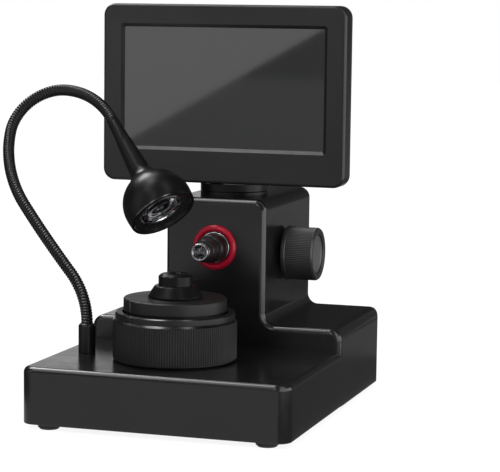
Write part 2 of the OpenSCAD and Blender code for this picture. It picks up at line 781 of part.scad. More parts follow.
// Turning disc with a hollow spindle below and two hinge ears above
module turntable() {
    spindle_low = column_z - wall - nut_h - 1 - turntable_z;
    color(satin) difference() {
        union() {
            translate([0, neck_y, turntable_z]) {
                cylinder(r = neck_r, h = turntable_h);
                translate([0, 0, spindle_low]) cylinder(r = spindle_r, h = -spindle_low + eps);
            }
            for (side = [-1, 1]) translate([side * (knuckle_half + moving_gap + ear_t / 2), neck_y, tilt_z])
                facing_right() translate([0, 0, -ear_t / 2]) {
                    cylinder(r = ear_r, h = ear_t);
                    translate([0, -ear_r, 0]) cube([tilt_z - turntable_z - turntable_h / 2, 2 * ear_r, ear_t]);
                }
        }
        translate([0, neck_y, turntable_z + spindle_low - 1]) cylinder(r = 3, h = turntable_h - spindle_low + 2);
        translate([-20, neck_y, tilt_z]) facing_right() cylinder(r = tilt_pin_r + 0.02, h = 40);
    }
}

module swivel_nut() {
    color(brass) translate([0, neck_y, column_z - wall - moving_gap - nut_h]) difference() {
        cylinder(r = 8.2, h = nut_h, $fn = 6);
        translate([0, 0, -1]) cylinder(r = spindle_r + 0.02, h = nut_h + 2);
    }
}

module tilt_pin() {
    half = knuckle_half + moving_gap + ear_t;
    color(steel) translate([-half - 0.8, neck_y, tilt_z]) facing_right() {
        cylinder(r = tilt_pin_r, h = 2 * half + 0.8);
        cylinder(r = tilt_pin_r + 1, h = 0.8);
    }
}

back_t = 3.5;
bezel_t = screen_t - back_t;
bezel_wall = 2;
face_t = 3;
view_z = chin_h + view_h / 2 - screen_h / 2;
module_w = 105.4;
module_h = 67.2;
module_t = 3;
module_z = view_z + 1.5;
glass_t = 1.1;
recess = 1.4;
bevel_w = 1.5;
screen_screw_at = [screen_w / 2 - 5.2, screen_h / 2 - 5.2];

// Puts the screen's own frame, with +Z to the front, in its place
module in_screen() {
    translate([0, screen_y, screen_z + screen_h / 2]) facing_front() children();
}

// Front frame with a bevelled opening round the picture
module screen_bezel() {
    color(black) in_screen() difference() {
        translate([0, 0, -bezel_t]) soft_prism(
            function (inset) rect_outline(screen_w, screen_h, screen_r, inset), bezel_t, 0, 1.4);
        translate([0, 0, -bezel_t - 1])
            plate(screen_w - 2 * bezel_wall, screen_h - 2 * bezel_wall, screen_r - bezel_wall, bezel_t - face_t + 1);
        translate([0, view_z, 0]) {
            translate([-view_w / 2, -view_h / 2, -bezel_t]) cube([view_w, view_h, bezel_t + 1]);
            rim = [view_w / 2 + bevel_w, view_h / 2 + bevel_w];
            hull() {
                translate([-rim.x, -rim.y, 0]) cube([2 * rim.x, 2 * rim.y, 1]);
                translate([-view_w / 2, -view_h / 2, -recess]) cube([view_w, view_h, 1]);
            }
            translate([0, 0, -recess - glass_t]) linear_extrude(glass_t)
                square([view_w + 3, view_h + 3], center = true);
            translate([-view_w / 2 - 1.5, -view_h / 2 - 1.5, -bezel_t])
                cube([view_w + 3, view_h + 3, bezel_t - recess - glass_t + eps]);
        }
        for (x = [-1, 1], y = [-1, 1]) translate([x * screen_screw_at.x, y * screen_screw_at.y, -bezel_t - 1])
            cylinder(r = pilot_r, h = bezel_t - 1);
    }
    color(black) in_screen() for (x = [-1, 1], y = [-1, 1])
        translate([x * screen_screw_at.x, y * screen_screw_at.y, -bezel_t])
            tube(screen_screw_r, pilot_r, bezel_t - face_t + eps);
}
screen_screw_r = 2.8;

module display_glass() {
    color([0.12, 0.12, 0.13]) in_screen() translate([0, view_z, -recess - glass_t])
        linear_extrude(glass_t) square([view_w + 2.8, view_h + 2.8], center = true);
}

module lcd_module() {
    color(steel) in_screen() translate([0, view_z, -recess - glass_t - module_t])
        linear_extrude(module_t) square([view_w + 2.4, view_h + 2.4], center = true);
}

module screen_board() {
    low = -recess - glass_t - module_t;
    color(board_green) in_screen() translate([0, 6, low - 1.6]) {
        linear_extrude(1.6) square([80, 46], center = true);
        translate([-18, 4, -1]) cube([12, 12, 1]);
        translate([12, -8, -1]) cube([18, 6, 1]);
    }
}

// Back shell with a knuckle for the tilt pin and four recessed screws
module screen_back_cover() {
    skin = 1.8;
    color(black) difference() {
        union() {
            in_screen() translate([0, 0, -screen_t]) difference() {
                soft_prism(function (inset) rect_outline(screen_w, screen_h, screen_r, inset), back_t, 1.4, 0);
                translate([0, 0, skin]) plate(screen_w - 2 * bezel_wall, screen_h - 2 * bezel_wall,
                    screen_r - bezel_wall, back_t);
            }
            in_screen() for (x = [-1, 1], y = [-1, 1])
                translate([x * screen_screw_at.x, y * screen_screw_at.y, -screen_t + skin - eps])
                    cylinder(r = screen_screw_r, h = back_t - skin + eps);
            translate([-knuckle_half, neck_y, tilt_z]) facing_right() {
                cylinder(r = knuckle_r, h = 2 * knuckle_half);
                translate([-knuckle_r, screen_back - neck_y - 1, 0])
                    cube([2 * knuckle_r, neck_y - screen_back + 1, 2 * knuckle_half]);
            }
        }
        translate([-20, neck_y, tilt_z]) facing_right() cylinder(r = tilt_pin_r + running, h = 40);
        in_screen() for (x = [-1, 1], y = [-1, 1])
            translate([x * screen_screw_at.x, y * screen_screw_at.y, -screen_t - 1]) {
                cylinder(r = screw_r + 0.3, h = screen_t);
                cylinder(r = 2.2, h = 2);
            }
        for (i = [0 : 7]) in_screen() translate([0, 14 + 2.6 * i, -screen_t - 1]) plate(34, 1.2, 0.59, skin + 2);
    }
}

module screen_screws() {
    color(dark_metal) in_screen() for (x = [-1, 1], y = [-1, 1])
        translate([x * screen_screw_at.x, y * screen_screw_at.y, -screen_t + 1]) mirror([0, 0, 1])
            screw(7, 1.9, 0.8);
}

// ---------- height-adjustable stage ----------

stage_x = -stage_left;
stage_y = front_y + stage_back;
ring_r = ring_d / 2;
ring_low = 0.4;
plate_h = 3.2;
plate_r = ring_r - 2;
ring_step_r = ring_r - 1;
ring_step_h = 2.9;
ring_top = ring_h + ring_step_h + ring_low;
thread_r = ring_r - 3;
post_outer_r = 10;
clip_z = 0.55;
clip_t = 0.76;
holder_gap = 0.2;
key_w = 3;
key_depth = 1.8;
platform_r = platform_d / 2;
lip_h = 3.1;
disc_h = 5.7;
neck_in = 0.9;
band_low = 9.3;
band_h = 4;
post_h = 15.3;
cone_low_r = 12;
cone_top_r = 9.1;
cone_h = 5.3;
holder_r = 7.4;
holder_h = 4.1;
holder_cap_h = 1.1;
spigot_r = 5;
spigot_h = 4;

module at_stage() { translate([stage_x, stage_y, base_h]) children(); }

// Foot plate with a slotted guide post; four magnets sit in its underside
module stage_foot() {
    color(dark_metal) at_stage() difference() {
        union() {
            cylinder(r = plate_r - 1.3, h = 1.7);
            translate([0, 0, 1.6]) cylinder(r = plate_r - moving_gap, h = plate_h - 1.6);
            tube(post_outer_r, post_outer_r - 3.4, post_h);
        }
        for (a = [0, 180]) rotate([0, 0, a]) translate([post_outer_r - key_depth - moving_gap, -key_w / 2 - 0.25, plate_h])
            cube([key_depth + 4, key_w + 0.5, post_h]);
        for (a = [45 : 90 : 315]) rotate([0, 0, a]) translate([16.5, 0, -eps]) cylinder(r = 4.02, h = 2);
    }
}

module stage_magnets() {
    color(steel) at_stage() for (a = [45 : 90 : 315]) rotate([0, 0, a]) translate([16.5, 0, 0])
        cylinder(r = 4, h = 1.99);
}

// Knurled ring that turns on the foot plate and screws the platform up and down
module height_ring() {
    flutes = 132;
    bevel = 0.9;
    step_bevel = 0.4;
    color(satin) at_stage() difference() {
        union() {
            translate([0, 0, ring_low]) knurled(ring_r, ring_h - bevel, flutes, 0.35);
            translate([0, 0, ring_low + ring_h - bevel]) cylinder(r1 = ring_r - 0.1, r2 = ring_r - bevel, h = bevel);
            translate([0, 0, ring_low + ring_h - eps]) cylinder(r = ring_step_r, h = ring_step_h + eps - step_bevel);
            translate([0, 0, ring_top - step_bevel])
                cylinder(r1 = ring_step_r, r2 = ring_step_r - step_bevel, h = step_bevel);
        }
        translate([0, 0, -1]) cylinder(r = plate_r, h = plate_h + 1 + 0.25);
        translate([0, 0, plate_h]) cylinder(r = thread_r, h = ring_top - lip_h - plate_h);
        translate([0, 0, ring_top - lip_h - 1]) cylinder(r = platform_r + moving_gap, h = lip_h + 2);
        translate([0, 0, clip_z]) cylinder(r = plate_r + 0.7, h = clip_t + 0.04);
    }
}

// Spring clip in the ring's groove that keeps the ring on the foot plate
module ring_clip() {
    gap_w = 8;
    color(steel) at_stage() translate([0, 0, clip_z + 0.02]) difference() {
        tube(plate_r + 0.68, plate_r - 0.9, clip_t);
        translate([plate_r - 3, -gap_w / 2, -1]) cube([6, gap_w, 3]);
    }
}

// Platform: a keyed cup whose thread band runs in the height ring
module stage_platform() {
    top = ring_top + platform_rise;
    bore = spigot_r + running;
    color(satin) at_stage() difference() {
        union() {
            translate([0, 0, top - disc_h]) cylinder(r = platform_r, h = disc_h - 0.5);
            translate([0, 0, band_low + band_h - eps])
                cylinder(r = platform_r - neck_in, h = top - band_low - band_h - disc_h + 2 * eps);
            translate([0, 0, top - 0.5]) cylinder(r1 = platform_r, r2 = platform_r - 0.5, h = 0.5);
            translate([0, 0, band_low]) cylinder(r = thread_r - moving_gap, h = band_h);
        }
        difference() {
            translate([0, 0, band_low - 1]) cylinder(r = platform_r - 2.4, h = top - 4.5 - band_low + 1);
            for (a = [0, 180]) rotate([0, 0, a]) translate([post_outer_r - key_depth, -key_w / 2, band_low - 1])
                cube([5, key_w, top - band_low]);
            tube(post_outer_r + 3, post_outer_r + moving_gap, top);
        }
        translate([0, 0, top - 5]) cylinder(r = bore, h = 6);
    }
}

// Conical holder that turns in the platform and carries the stone in its seat
module stone_holder() {
    top = ring_top + platform_rise;
    color(satin) at_stage() translate([0, 0, top]) difference() {
        rotate_extrude() polygon([[0, -spigot_h], [spigot_r, -spigot_h], [spigot_r, holder_gap],
            [cone_low_r, holder_gap], [cone_low_r, 0.6], [cone_top_r, cone_h], [holder_r, cone_h], [holder_r, cone_h + holder_h],
            [holder_r - 1.4, cone_h + holder_h + holder_cap_h], [0, cone_h + holder_h + holder_cap_h]]);
        translate([0, 0, cone_h + holder_h + holder_cap_h - 4]) cylinder(r = seat_d / 2, h = 5);
    }
}

// ---------- lamp and its flexible arm ----------

arm_r = arm_d / 2;
ball_r = arm_r - 0.45;
ball_fit = 0.1;
stub_r = arm_r - 0.45;
trim_low = 0.2;
trim_high = 0.5;
socket_depth = 9;
sleeve_l = 13;
bell_r = bell_d / 2;
rim_r = bell_r - 0.35;
dome_back = 5.7;
bell_wall = 1.5;
neck_end_r = 3.5;
neck_root_r = 4.1;
lens_in = 1.8;

function turned(a) = [[cos(a), -sin(a), 0, 0], [sin(a), cos(a), 0, 0], [0, 0, 1, 0], [0, 0, 0, 1]];
// Frame at the end of an arc of radius r through angle a, which starts along +Z and bends towards +X
function arc_end(r, a) =
    [[cos(a), 0, sin(a), r * (1 - cos(a))], [0, 1, 0, 0], [-sin(a), 0, cos(a), r * sin(a)], [0, 0, 0, 1]];
function ferrule_top() =
    [[1, 0, 0, ferrule_x], [0, 1, 0, ferrule_y], [0, 0, 1, base_h + ferrule_h], [0, 0, 0, 1]];
// Frame at the start of stretch k of the arm; the last one is the lamp's own frame
function arm_frame(k) =
    k == 0 ? ferrule_top() : arm_frame(k - 1) * turned(arm_turn[k - 1]) * arc_end(arm_bend_r[k - 1], arm_bend_a[k - 1]);

// One bent stretch of the arm: it ends in a ball and starts with the socket for the ball before it
module arm_stretch(k) {
    r = arm_bend_r[k];
    start = trim_low / r * 180 / PI;
    stop = arm_bend_a[k] - trim_high / r * 180 / PI;
    color(dark_metal) multmatrix(arm_frame(k) * turned(arm_turn[k])) difference() {
        union() {
            translate([r, 0, 0]) mirror([1, 0, 0]) facing_front() rotate([0, 0, start])
                rotate_extrude(angle = stop - start, $fn = 96) translate([r, 0]) circle(arm_r, $fn = 32);
            multmatrix(arc_end(r, arm_bend_a[k])) sphere(ball_r, $fn = 32);
            if (k == 0) translate([0, 0, moving_gap - socket_depth]) cylinder(r = stub_r, h = socket_depth + 1);
        }
        if (k > 0) sphere(ball_r + ball_fit, $fn = 32);
    }
}

module arm_root() { arm_stretch(0); }
module arm_rise() { arm_stretch(1); }
module arm_lean() { arm_stretch(2); }
module arm_crown() { arm_stretch(3); }
module arm_drop() { arm_stretch(4); }

// Socket on the deck that the arm turns in, with a threaded stem through the deck
module lamp_ferrule() {
    stem = wall + 4;
    color(satin) translate([ferrule_x, ferrule_y, base_h]) difference() {
        union() {
            cylinder(r = ferrule_d / 2, h = ferrule_h - 0.8);
            translate([0, 0, ferrule_h - 0.8]) cylinder(r1 = ferrule_d / 2, r2 = ferrule_d / 2 - 0.6, h = 0.8);
            translate([0, 0, -stem]) cylinder(r = ferrule_stem_r - 0.02, h = stem + eps);
        }
        translate([0, 0, ferrule_h - socket_depth]) cylinder(r = stub_r + running, h = socket_depth + 1);
        translate([0, 0, -stem - 1]) cylinder(r = 1.2, h = ferrule_h + stem);
    }
}

module ferrule_nut() {
    color(brass) translate([ferrule_x, ferrule_y, base_h - wall - 2.4]) difference() {
        cylinder(r = 4.6, h = 2.4, $fn = 6);
        translate([0, 0, -1]) cylinder(r = ferrule_stem_r, h = 5);
    }
}

// Places the lamp's parts: +Z runs from the arm's end to the rim
module in_lamp() { multmatrix(arm_frame(5)) children(); }

// Smooth sleeve crimped on the end of the arm
module lamp_sleeve() {
    color(satin) in_lamp() difference() {
        translate([0, 0, trim_low]) cylinder(r1 = arm_r + 0.1, r2 = neck_end_r - 0.2, h = sleeve_l - trim_low);
        sphere(ball_r + ball_fit, $fn = 32);
    }
}

// Domed bell with a slender neck, turned in one piece
module lamp_bell() {
    dome_z = lamp_l - dome_back;
    blend = 5;
    dome_start = acos((neck_root_r + blend) / (bell_r + blend));
    join_z = dome_z - (bell_r + blend) * sin(dome_start);
    function dome(r, a) = [r * cos(a), dome_z - r * sin(a)];
    cavity_r = bell_r - bell_wall;
    floor_a = asin((dome_z - led_z) / cavity_r);
    color(satin) in_lamp() rotate_extrude($fn = 96) polygon(concat(
        [[0, sleeve_l], [neck_end_r, sleeve_l], [neck_root_r, join_z]],
        [for (i = [1 : 6]) let (a = 180 - dome_start * i / 6)
            [neck_root_r + blend, join_z] + blend * [cos(a), sin(a)]],
        [for (i = [1 : 14]) dome(bell_r, dome_start * (1 - i / 14))],
        [[rim_r, lamp_l], [rim_r - 1.2, lamp_l], [cavity_r - 0.3, lamp_l - 1], [cavity_r, dome_z]],
        [for (i = [1 : 3]) dome(cavity_r, floor_a * i / 3)],
        [[0, led_z]]));
}

led_in = 9;
led_z = lamp_l - led_in;
led_gap = 1.9;
led_side = 3.5;

module led_board() {
    color(board_green) in_lamp() translate([0, 0, led_z]) {
        cylinder(r = bell_r - bell_wall - led_gap, h = 1.2);
        translate([-led_side / 2, -led_side / 2, 1.2]) cube([led_side, led_side, 1]);
    }
}

module lamp_reflector() {
    h = lamp_l - lens_in - 1.6 - led_z - 1.2;
    color(steel) in_lamp() translate([0, 0, led_z + 1.2]) difference() {
        cylinder(r1 = 5, r2 = lamp_lens_d / 2, h = h);
        translate([0, 0, -eps]) cylinder(r1 = 3.6, r2 = lamp_lens_d / 2 - 0.8, h = h + 2 * eps);
    }
}

module lamp_lens() {
    color([0.85, 0.88, 0.92, 0.5]) in_lamp() translate([0, 0, lamp_l - lens_in - 1.6]) rotate_extrude()
        polygon([[0, 0], [lamp_lens_d / 2, 0], [lamp_lens_d / 2, 1.2], [lamp_lens_d / 4, 1.5], [0, 1.6]]);
}

// Black ring that holds the lens in the bell
module lens_retainer() {
    outer = bell_r - bell_wall - 0.35;
    color(black) in_lamp() translate([0, 0, led_z + 1.2]) rotate_extrude($fn = 96) polygon([
        [outer - 1.2, 0], [outer - 0.3, 0], [outer, lamp_l - lens_in - led_z - 1.2],
        [lamp_lens_d / 2 + 0.05, lamp_l - lens_in - led_z - 1.2], [lamp_lens_d / 2 + 0.05, lamp_l - lens_in - led_z - 3],
        [outer - 1.2, lamp_l - lens_in - led_z - 3]]);
}

base_housing();
bottom_cover();
bottom_cover_screws();
rubber_feet();
rear_cover();
rear_cover_screws();
main_board();
power_inlet();
switch_frame();
switch_rocker();
keeper_plate();
red_ring();
lens_bush();
lens_barrel();
lens_front_ring();
objective_lens();
camera_board();
focus_carriage();
focus_rack();
guide_rods();
guide_bracket();
bracket_screws();
focus_shaft();
focus_pinion();
shaft_bush();
focus_knob();
knob_cap();
neck_base();
turntable();
swivel_nut();
tilt_pin();
screen_bezel();
display_glass();
lcd_module();
screen_board();
screen_back_cover();
screen_screws();
stage_foot();
stage_magnets();
height_ring();
ring_clip();
stage_platform();
stone_holder();
lamp_ferrule();
ferrule_nut();
arm_root();
arm_rise();
arm_lean();
arm_crown();
arm_drop();
lamp_sleeve();
lamp_bell();
led_board();
lamp_reflector();
lamp_lens();
lens_retainer();
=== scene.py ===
import json
import math

import bmesh
import bpy
from mathutils import Matrix, Vector

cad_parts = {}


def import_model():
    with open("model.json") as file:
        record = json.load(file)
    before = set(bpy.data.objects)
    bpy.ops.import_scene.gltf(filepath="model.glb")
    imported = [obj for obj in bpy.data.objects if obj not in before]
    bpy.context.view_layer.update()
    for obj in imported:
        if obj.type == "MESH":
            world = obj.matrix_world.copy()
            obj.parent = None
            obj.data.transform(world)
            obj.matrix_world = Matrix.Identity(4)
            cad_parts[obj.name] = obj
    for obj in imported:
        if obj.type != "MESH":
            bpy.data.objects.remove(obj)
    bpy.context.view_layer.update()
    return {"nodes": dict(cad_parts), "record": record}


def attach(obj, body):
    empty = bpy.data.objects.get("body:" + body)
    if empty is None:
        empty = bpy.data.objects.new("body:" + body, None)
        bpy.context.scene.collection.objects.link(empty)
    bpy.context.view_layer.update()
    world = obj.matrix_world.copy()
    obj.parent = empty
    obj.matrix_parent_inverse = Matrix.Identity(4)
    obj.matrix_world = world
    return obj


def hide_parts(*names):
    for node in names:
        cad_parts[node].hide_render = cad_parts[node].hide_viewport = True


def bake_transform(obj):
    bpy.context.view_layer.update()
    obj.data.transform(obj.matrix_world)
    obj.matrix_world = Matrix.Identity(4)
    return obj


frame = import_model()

nodes = frame["nodes"]
scene = bpy.context.scene
MM = 0.001

# ---------------------------------------------------------------- sizes, in millimetres, as in part.scad
BASE_W, BASE_D, BASE_H, DECK_D = 120.0, 157.0, 24.7, 82.6
FRONT, BACK = -BASE_D / 2, BASE_D / 2
BODY = FRONT + DECK_D
SHOULDER_Z, COLUMN_Z, HALF_C = 35.4, 92.1, 23.75
CORNER_R, SHOULDER_R, COLUMN_R, ROOT_R = 6.5, 5.5, 5.0, 5.0
EDGE_R, FOOT_EDGE_R, BACK_EDGE_R, WALL = 2.7, 0.4, 1.2, 2.6
LENS_Z, LENS_REACH = 69.8, 21.6
KNOB = (25.15, 35.5, 65)
STAGE = (-4.4, -36.5)
NECK_Y, TILT_Z = 31.5, 106.0
SCREEN_Y, SCREEN_Z0 = 12.0, 98.0
SCREEN_W, SCREEN_H, SCREEN_T, SCREEN_R, SCREEN_WALL = 116.0, 81.5, 12.0, 5.5, 2.0
VIEW_W, VIEW_H, CHIN, BEVEL_W, RECESS = 95.5, 54.8, 16.2, 1.5, 1.4
FERRULE, ARM_Z = (-46.9, -33.9), 37.7
# the arm's arcs from the ferrule up: radius, then bend and turn about its own line in degrees
ARM = ((35.5, 39.6, 179.5), (161, 13.5, -84.3), (57, 38.9, -57.6), (21, 98, -23.3), (34, 50.2, 12.5))
RIB, RIB_DEPTH, RIB_STEPS, HOSE_R, HOSE_CORE_R, HOSE_SEGS, HOSE_BLEND = 1.25, 0.42, 8, 2.65, 0.4, 24, 7
LAMP_L, BELL_R = 54.2, 15.6
LED_Z, LENS_Z0, LENS_R = LAMP_L - 9, LAMP_L - 3.4, 9.4

# ---------------------------------------------------------------- materials
MAT = {}
BLACK = (0.004, 0.004, 0.0042)
WAVE_H, TRACK_H = 0.00004, 0.00003  # heights of bumps, in metres


def ramp(nt, fac, stops):
    n = nt.nodes.new("ShaderNodeValToRGB")
    els = n.color_ramp.elements
    while len(els) < len(stops):
        els.new(0.5)
    for e, (pos, col) in zip(els, stops):
        e.position = pos
        e.color = (*col, 1)
    nt.links.new(fac, n.inputs[0])
    return n.outputs[0]


def levels(nt, fac, *stops):
    """Ramp between grey levels."""
    return ramp(nt, fac, [(pos, (level,) * 3) for pos, level in stops])


def drift(nt, fac, col, vary):
    """The colour, a little darker and lighter from place to place."""
    dark, light = (tuple(min(1, c * (1 + v)) for c in col) for v in (-vary, vary))
    return ramp(nt, fac, [(0.3, dark), (0.7, light)])


def noise(nt, coord, scale, detail=3.0, rough=0.55, distortion=0.0):
    n = nt.nodes.new("ShaderNodeTexNoise")
    n.inputs["Scale"].default_value = scale
    n.inputs["Detail"].default_value = detail
    n.inputs["Roughness"].default_value = rough
    n.inputs["Distortion"].default_value = distortion
    nt.links.new(coord, n.inputs["Vector"])
    return n.outputs["Fac"]


def mapping(nt, scale=(1, 1, 1), rotation=(0, 0, 0)):
    tc = nt.nodes.new("ShaderNodeTexCoord")
    mp = nt.nodes.new("ShaderNodeMapping")
    mp.inputs["Scale"].default_value = scale
    mp.inputs["Rotation"].default_value = rotation
    nt.links.new(tc.outputs["Object"], mp.inputs["Vector"])
    return mp.outputs["Vector"]


def bump(nt, height, strength, distance, normal=None):
    b = nt.nodes.new("ShaderNodeBump")
    b.inputs["Strength"].default_value = strength
    b.inputs["Distance"].default_value = distance
    nt.links.new(height, b.inputs["Height"])
    if normal is not None:
        nt.links.new(normal, b.inputs["Normal"])
    return b.outputs["Normal"]


def shader(name, metallic=0.0, specular=0.5, transmission=0.0):
    """New material, kept in MAT under its name."""
    m = bpy.data.materials.new(name)
    m.use_nodes = True
    p = m.node_tree.nodes["Principled BSDF"]
    p.inputs["Metallic"].default_value = metallic
    p.inputs["IOR"].default_value = 1.5
    p.inputs["Specular IOR Level"].default_value = specular
    p.inputs["Transmission Weight"].default_value = transmission
    MAT[name] = m
    return m.node_tree, p.inputs


def moulded(name, col, rough, vary=0.25, grain=2600, grain_h=0.000006, flow=0.5, specular=0.5):
    """Moulded or painted surface: slight colour drift, handling marks in the gloss and a fine grain."""
    nt, to = shader(name, specular=specular)
    v = mapping(nt)
    nt.links.new(drift(nt, noise(nt, v, 28, 4, 0.6, 0.4), col, vary), to["Base Color"])
    marks = noise(nt, mapping(nt, (1, 1, 1.7), (0.3, 0.2, 0.5)), 75, 6, 0.62, 1.2)
    nt.links.new(levels(nt, marks, (0.32, rough[0]), (0.72, rough[1])), to["Roughness"])
    waves = bump(nt, noise(nt, v, 55, 2, 0.4), 0.35 * flow, WAVE_H)
    nt.links.new(bump(nt, noise(nt, v, grain, 2, 0.5), 0.35, grain_h, waves), to["Normal"])


def machined(name, col, rough, metallic=1.0, axis="Z", specular=0.5):
    """Turned or ground metal with fine marks across the given axis."""
    pitch, along, depth, vary = 3500, 60, 0.000012, 0.12
    nt, to = shader(name, metallic=metallic, specular=specular)
    marks = noise(nt, mapping(nt, tuple(pitch if a == axis else along for a in "XYZ")), 1.0, 2, 0.5)
    nt.links.new(drift(nt, noise(nt, mapping(nt), 90, 4, 0.6), col, vary), to["Base Color"])
    nt.links.new(levels(nt, marks, (0.25, rough[0]), (0.75, rough[1])), to["Roughness"])
    nt.links.new(bump(nt, marks, 0.4, depth), to["Normal"])


def circuit(name, mask, copper):
    """Solder mask over tracks: a brick lattice of lines with pads."""
    nt, to = shader(name, specular=0.45)
    v = mapping(nt)
    br = nt.nodes.new("ShaderNodeTexBrick")
    br.inputs["Scale"].default_value = 260
    br.inputs["Mortar Size"].default_value = 0.045
    br.inputs["Color1"].default_value = (*mask, 1)
    br.inputs["Color2"].default_value = (*[c * 0.82 for c in mask], 1)
    br.inputs["Mortar"].default_value = (*copper, 1)
    nt.links.new(v, br.inputs["Vector"])
    nt.links.new(br.outputs["Color"], to["Base Color"])
    nt.links.new(levels(nt, noise(nt, v, 300, 2), (0.3, 0.25), (0.7, 0.4)), to["Roughness"])
    nt.links.new(bump(nt, br.outputs["Fac"], 0.4, TRACK_H), to["Normal"])


def clear(name, tint, rough):
    """Optical glass with a faint uneven polish."""
    nt, to = shader(name, transmission=1.0)
    to["Base Color"].default_value = (*tint, 1)
    polish = noise(nt, mapping(nt), 160, 3)
    nt.links.new(levels(nt, polish, (0.3, rough[0]), (0.7, rough[1])), to["Roughness"])


moulded("black_moulding", BLACK, (0.2, 0.27))
moulded("base_plastic", (0.012, 0.012, 0.0125), (0.42, 0.55), grain=1500, grain_h=0.00002)
machined("black_steel", (0.02, 0.02, 0.021), (0.3, 0.42), metallic=0.6)
moulded("foot_rubber", (0.009, 0.009, 0.009), (0.6, 0.8), grain=1200, grain_h=0.00003)
moulded("cover_plastic", (0.011, 0.011, 0.0115), (0.4, 0.52), grain=1500, grain_h=0.00002)
circuit("circuit_board", (0.01, 0.11, 0.045), (0.02, 0.19, 0.08))
circuit("white_board", (0.7, 0.7, 0.67), (0.6, 0.58, 0.5))
moulded("inlet_plastic", (0.01, 0.01, 0.01), (0.35, 0.45))
moulded("switch_plastic", (0.01, 0.01, 0.01), (0.35, 0.45))
moulded("rocker_plastic", (0.008, 0.008, 0.008), (0.15, 0.22))
machined("plain_steel", (0.5, 0.51, 0.53), (0.3, 0.45))
machined("ground_steel", (0.6, 0.61, 0.62), (0.12, 0.22))
machined("magnet_plating", (0.7, 0.7, 0.72), (0.1, 0.2))
moulded("red_plastic", (0.27, 0.003, 0.016), (0.16, 0.24), vary=0.12, grain_h=0.000003, specular=0.3)
machined("bright_bush", (0.75, 0.75, 0.77), (0.08, 0.2), axis="Y")
machined("black_anodised", (0.02, 0.02, 0.021), (0.24, 0.36), metallic=0.7, axis="Y")
machined("lens_ring_metal", (0.32, 0.32, 0.34), (0.16, 0.3), axis="Y")
machined("grey_casting", (0.2, 0.2, 0.21), (0.35, 0.5), metallic=0.9, axis="Y")
machined("gear_brass", (0.62, 0.42, 0.16), (0.2, 0.32))
moulded("knob_plastic", (0.014, 0.014, 0.0145), (0.34, 0.44), grain=1800, grain_h=0.00001)
moulded("knob_cap_plastic", (0.072, 0.072, 0.073), (0.38, 0.48), grain=1800, grain_h=0.000008)
moulded("neck_plastic", (0.003, 0.003, 0.0032), (0.3, 0.4), specular=0.2)
moulded("screen_moulding", (0.006, 0.006, 0.0063), (0.3, 0.38), grain=1900, grain_h=0.000012,
        specular=0.36)
moulded("stage_metal", (0.01, 0.01, 0.01), (0.3, 0.4))
machined("ring_metal", (0.007, 0.007, 0.0073), (0.32, 0.44), metallic=0.1, specular=0.3)
# brighter metal for chamfer, lip and seam faces: painted highlight lines
machined("painted_highlight_edge", (0.09, 0.09, 0.092), (0.16, 0.26))
machined("platform_metal", (0.005, 0.005, 0.0053), (0.36, 0.46), metallic=0.0, specular=0.3)
machined("holder_metal", BLACK, (0.26, 0.36), metallic=0.0, specular=0.12)
moulded("ferrule_metal", BLACK, (0.28, 0.38), specular=0.3)
moulded("arm_metal", BLACK, (0.18, 0.26), grain=2200, grain_h=0.000004, specular=0.3)
machined("index_line", (0.2, 0.2, 0.21), (0.4, 0.5), metallic=0.4)
moulded("lamp_metal", BLACK, (0.28, 0.36), flow=0.3, specular=0.16)
machined("reflector_plating", (0.12, 0.12, 0.125), (0.06, 0.16))
moulded("retainer_plastic", (0.008, 0.008, 0.008), (0.2, 0.3))
clear("clear_glass", (0.93, 0.95, 0.97), (0.02, 0.05))
moulded("display_dark", (0.011, 0.0113, 0.012), (0.03, 0.05), vary=0.06, grain_h=0.0, flow=0.0)


# ---------------------------------------------------------------- mesh helpers
def smooth(me, angle):
    bm = bmesh.new()
    bm.from_mesh(me)
    bmesh.ops.remove_doubles(bm, verts=bm.verts, dist=1e-7)
    bmesh.ops.recalc_face_normals(bm, faces=bm.faces)
    bm.to_mesh(me)
    bm.free()
    me.shade_smooth()
    me.set_sharp_from_angle(angle=math.radians(angle))


def metres(points):
    return [[c * MM for c in p] for p in points]


def solid(name, verts, faces, mat=None, body=None, angle=30):
    """Mesh piece from points in millimetres; with a body it rides there and takes mat's slot."""
    me = bpy.data.meshes.new(name)
    me.from_pydata(metres(verts), [], faces)
    me.validate()
    smooth(me, angle)
    ob = bpy.data.objects.new(name, me)
    scene.collection.objects.link(ob)
    if mat:
        me.materials.append(MAT[mat])
    if body:
        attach(ob, body)
    return ob


def apply_all(ob):
    dg = bpy.context.evaluated_depsgraph_get()
    me = bpy.data.meshes.new_from_object(ob.evaluated_get(dg), preserve_all_data_layers=True, depsgraph=dg)
    ob.modifiers.clear()
    old = ob.data
    ob.data = me
    me.name = ob.name
    bpy.data.meshes.remove(old)


def cut(ob, cutters, operation="DIFFERENCE"):
    for c in cutters:
        mod = ob.modifiers.new("cut", "BOOLEAN")
        mod.operation = operation
        mod.solver = "EXACT"
        mod.object = c
        apply_all(ob)
    for c in cutters:
        me = c.data
        bpy.data.objects.remove(c)
        bpy.data.meshes.remove(me)


def finish_shell(ob, body, node, angle=30):
    """Weighted normals and the frame's calls for a piece made with booleans."""
    ob.data.shade_smooth()
    ob.data.set_sharp_from_angle(angle=math.radians(angle))
    mod = ob.modifiers.new("weighted", "WEIGHTED_NORMAL")
    mod.keep_sharp = True
    mod.weight = 80
    apply_all(ob)
    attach(ob, body)
    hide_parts(node)


def place(points, matrix):
    return [tuple(matrix @ Vector(p)) for p in points]


def grid_faces(rings, n):
    """Quads between rings of n points each, closed round."""
    f = []
    for k in range(rings - 1):
        for i in range(n):
            a, b = k * n + i, k * n + (i + 1) % n
            f.append((a, b, b + n, a + n))
    return f


def end_caps(n, total):
    """The two end faces of a stack of rings of n points."""
    return [tuple(range(n))[::-1], tuple(range(total - n, total))]


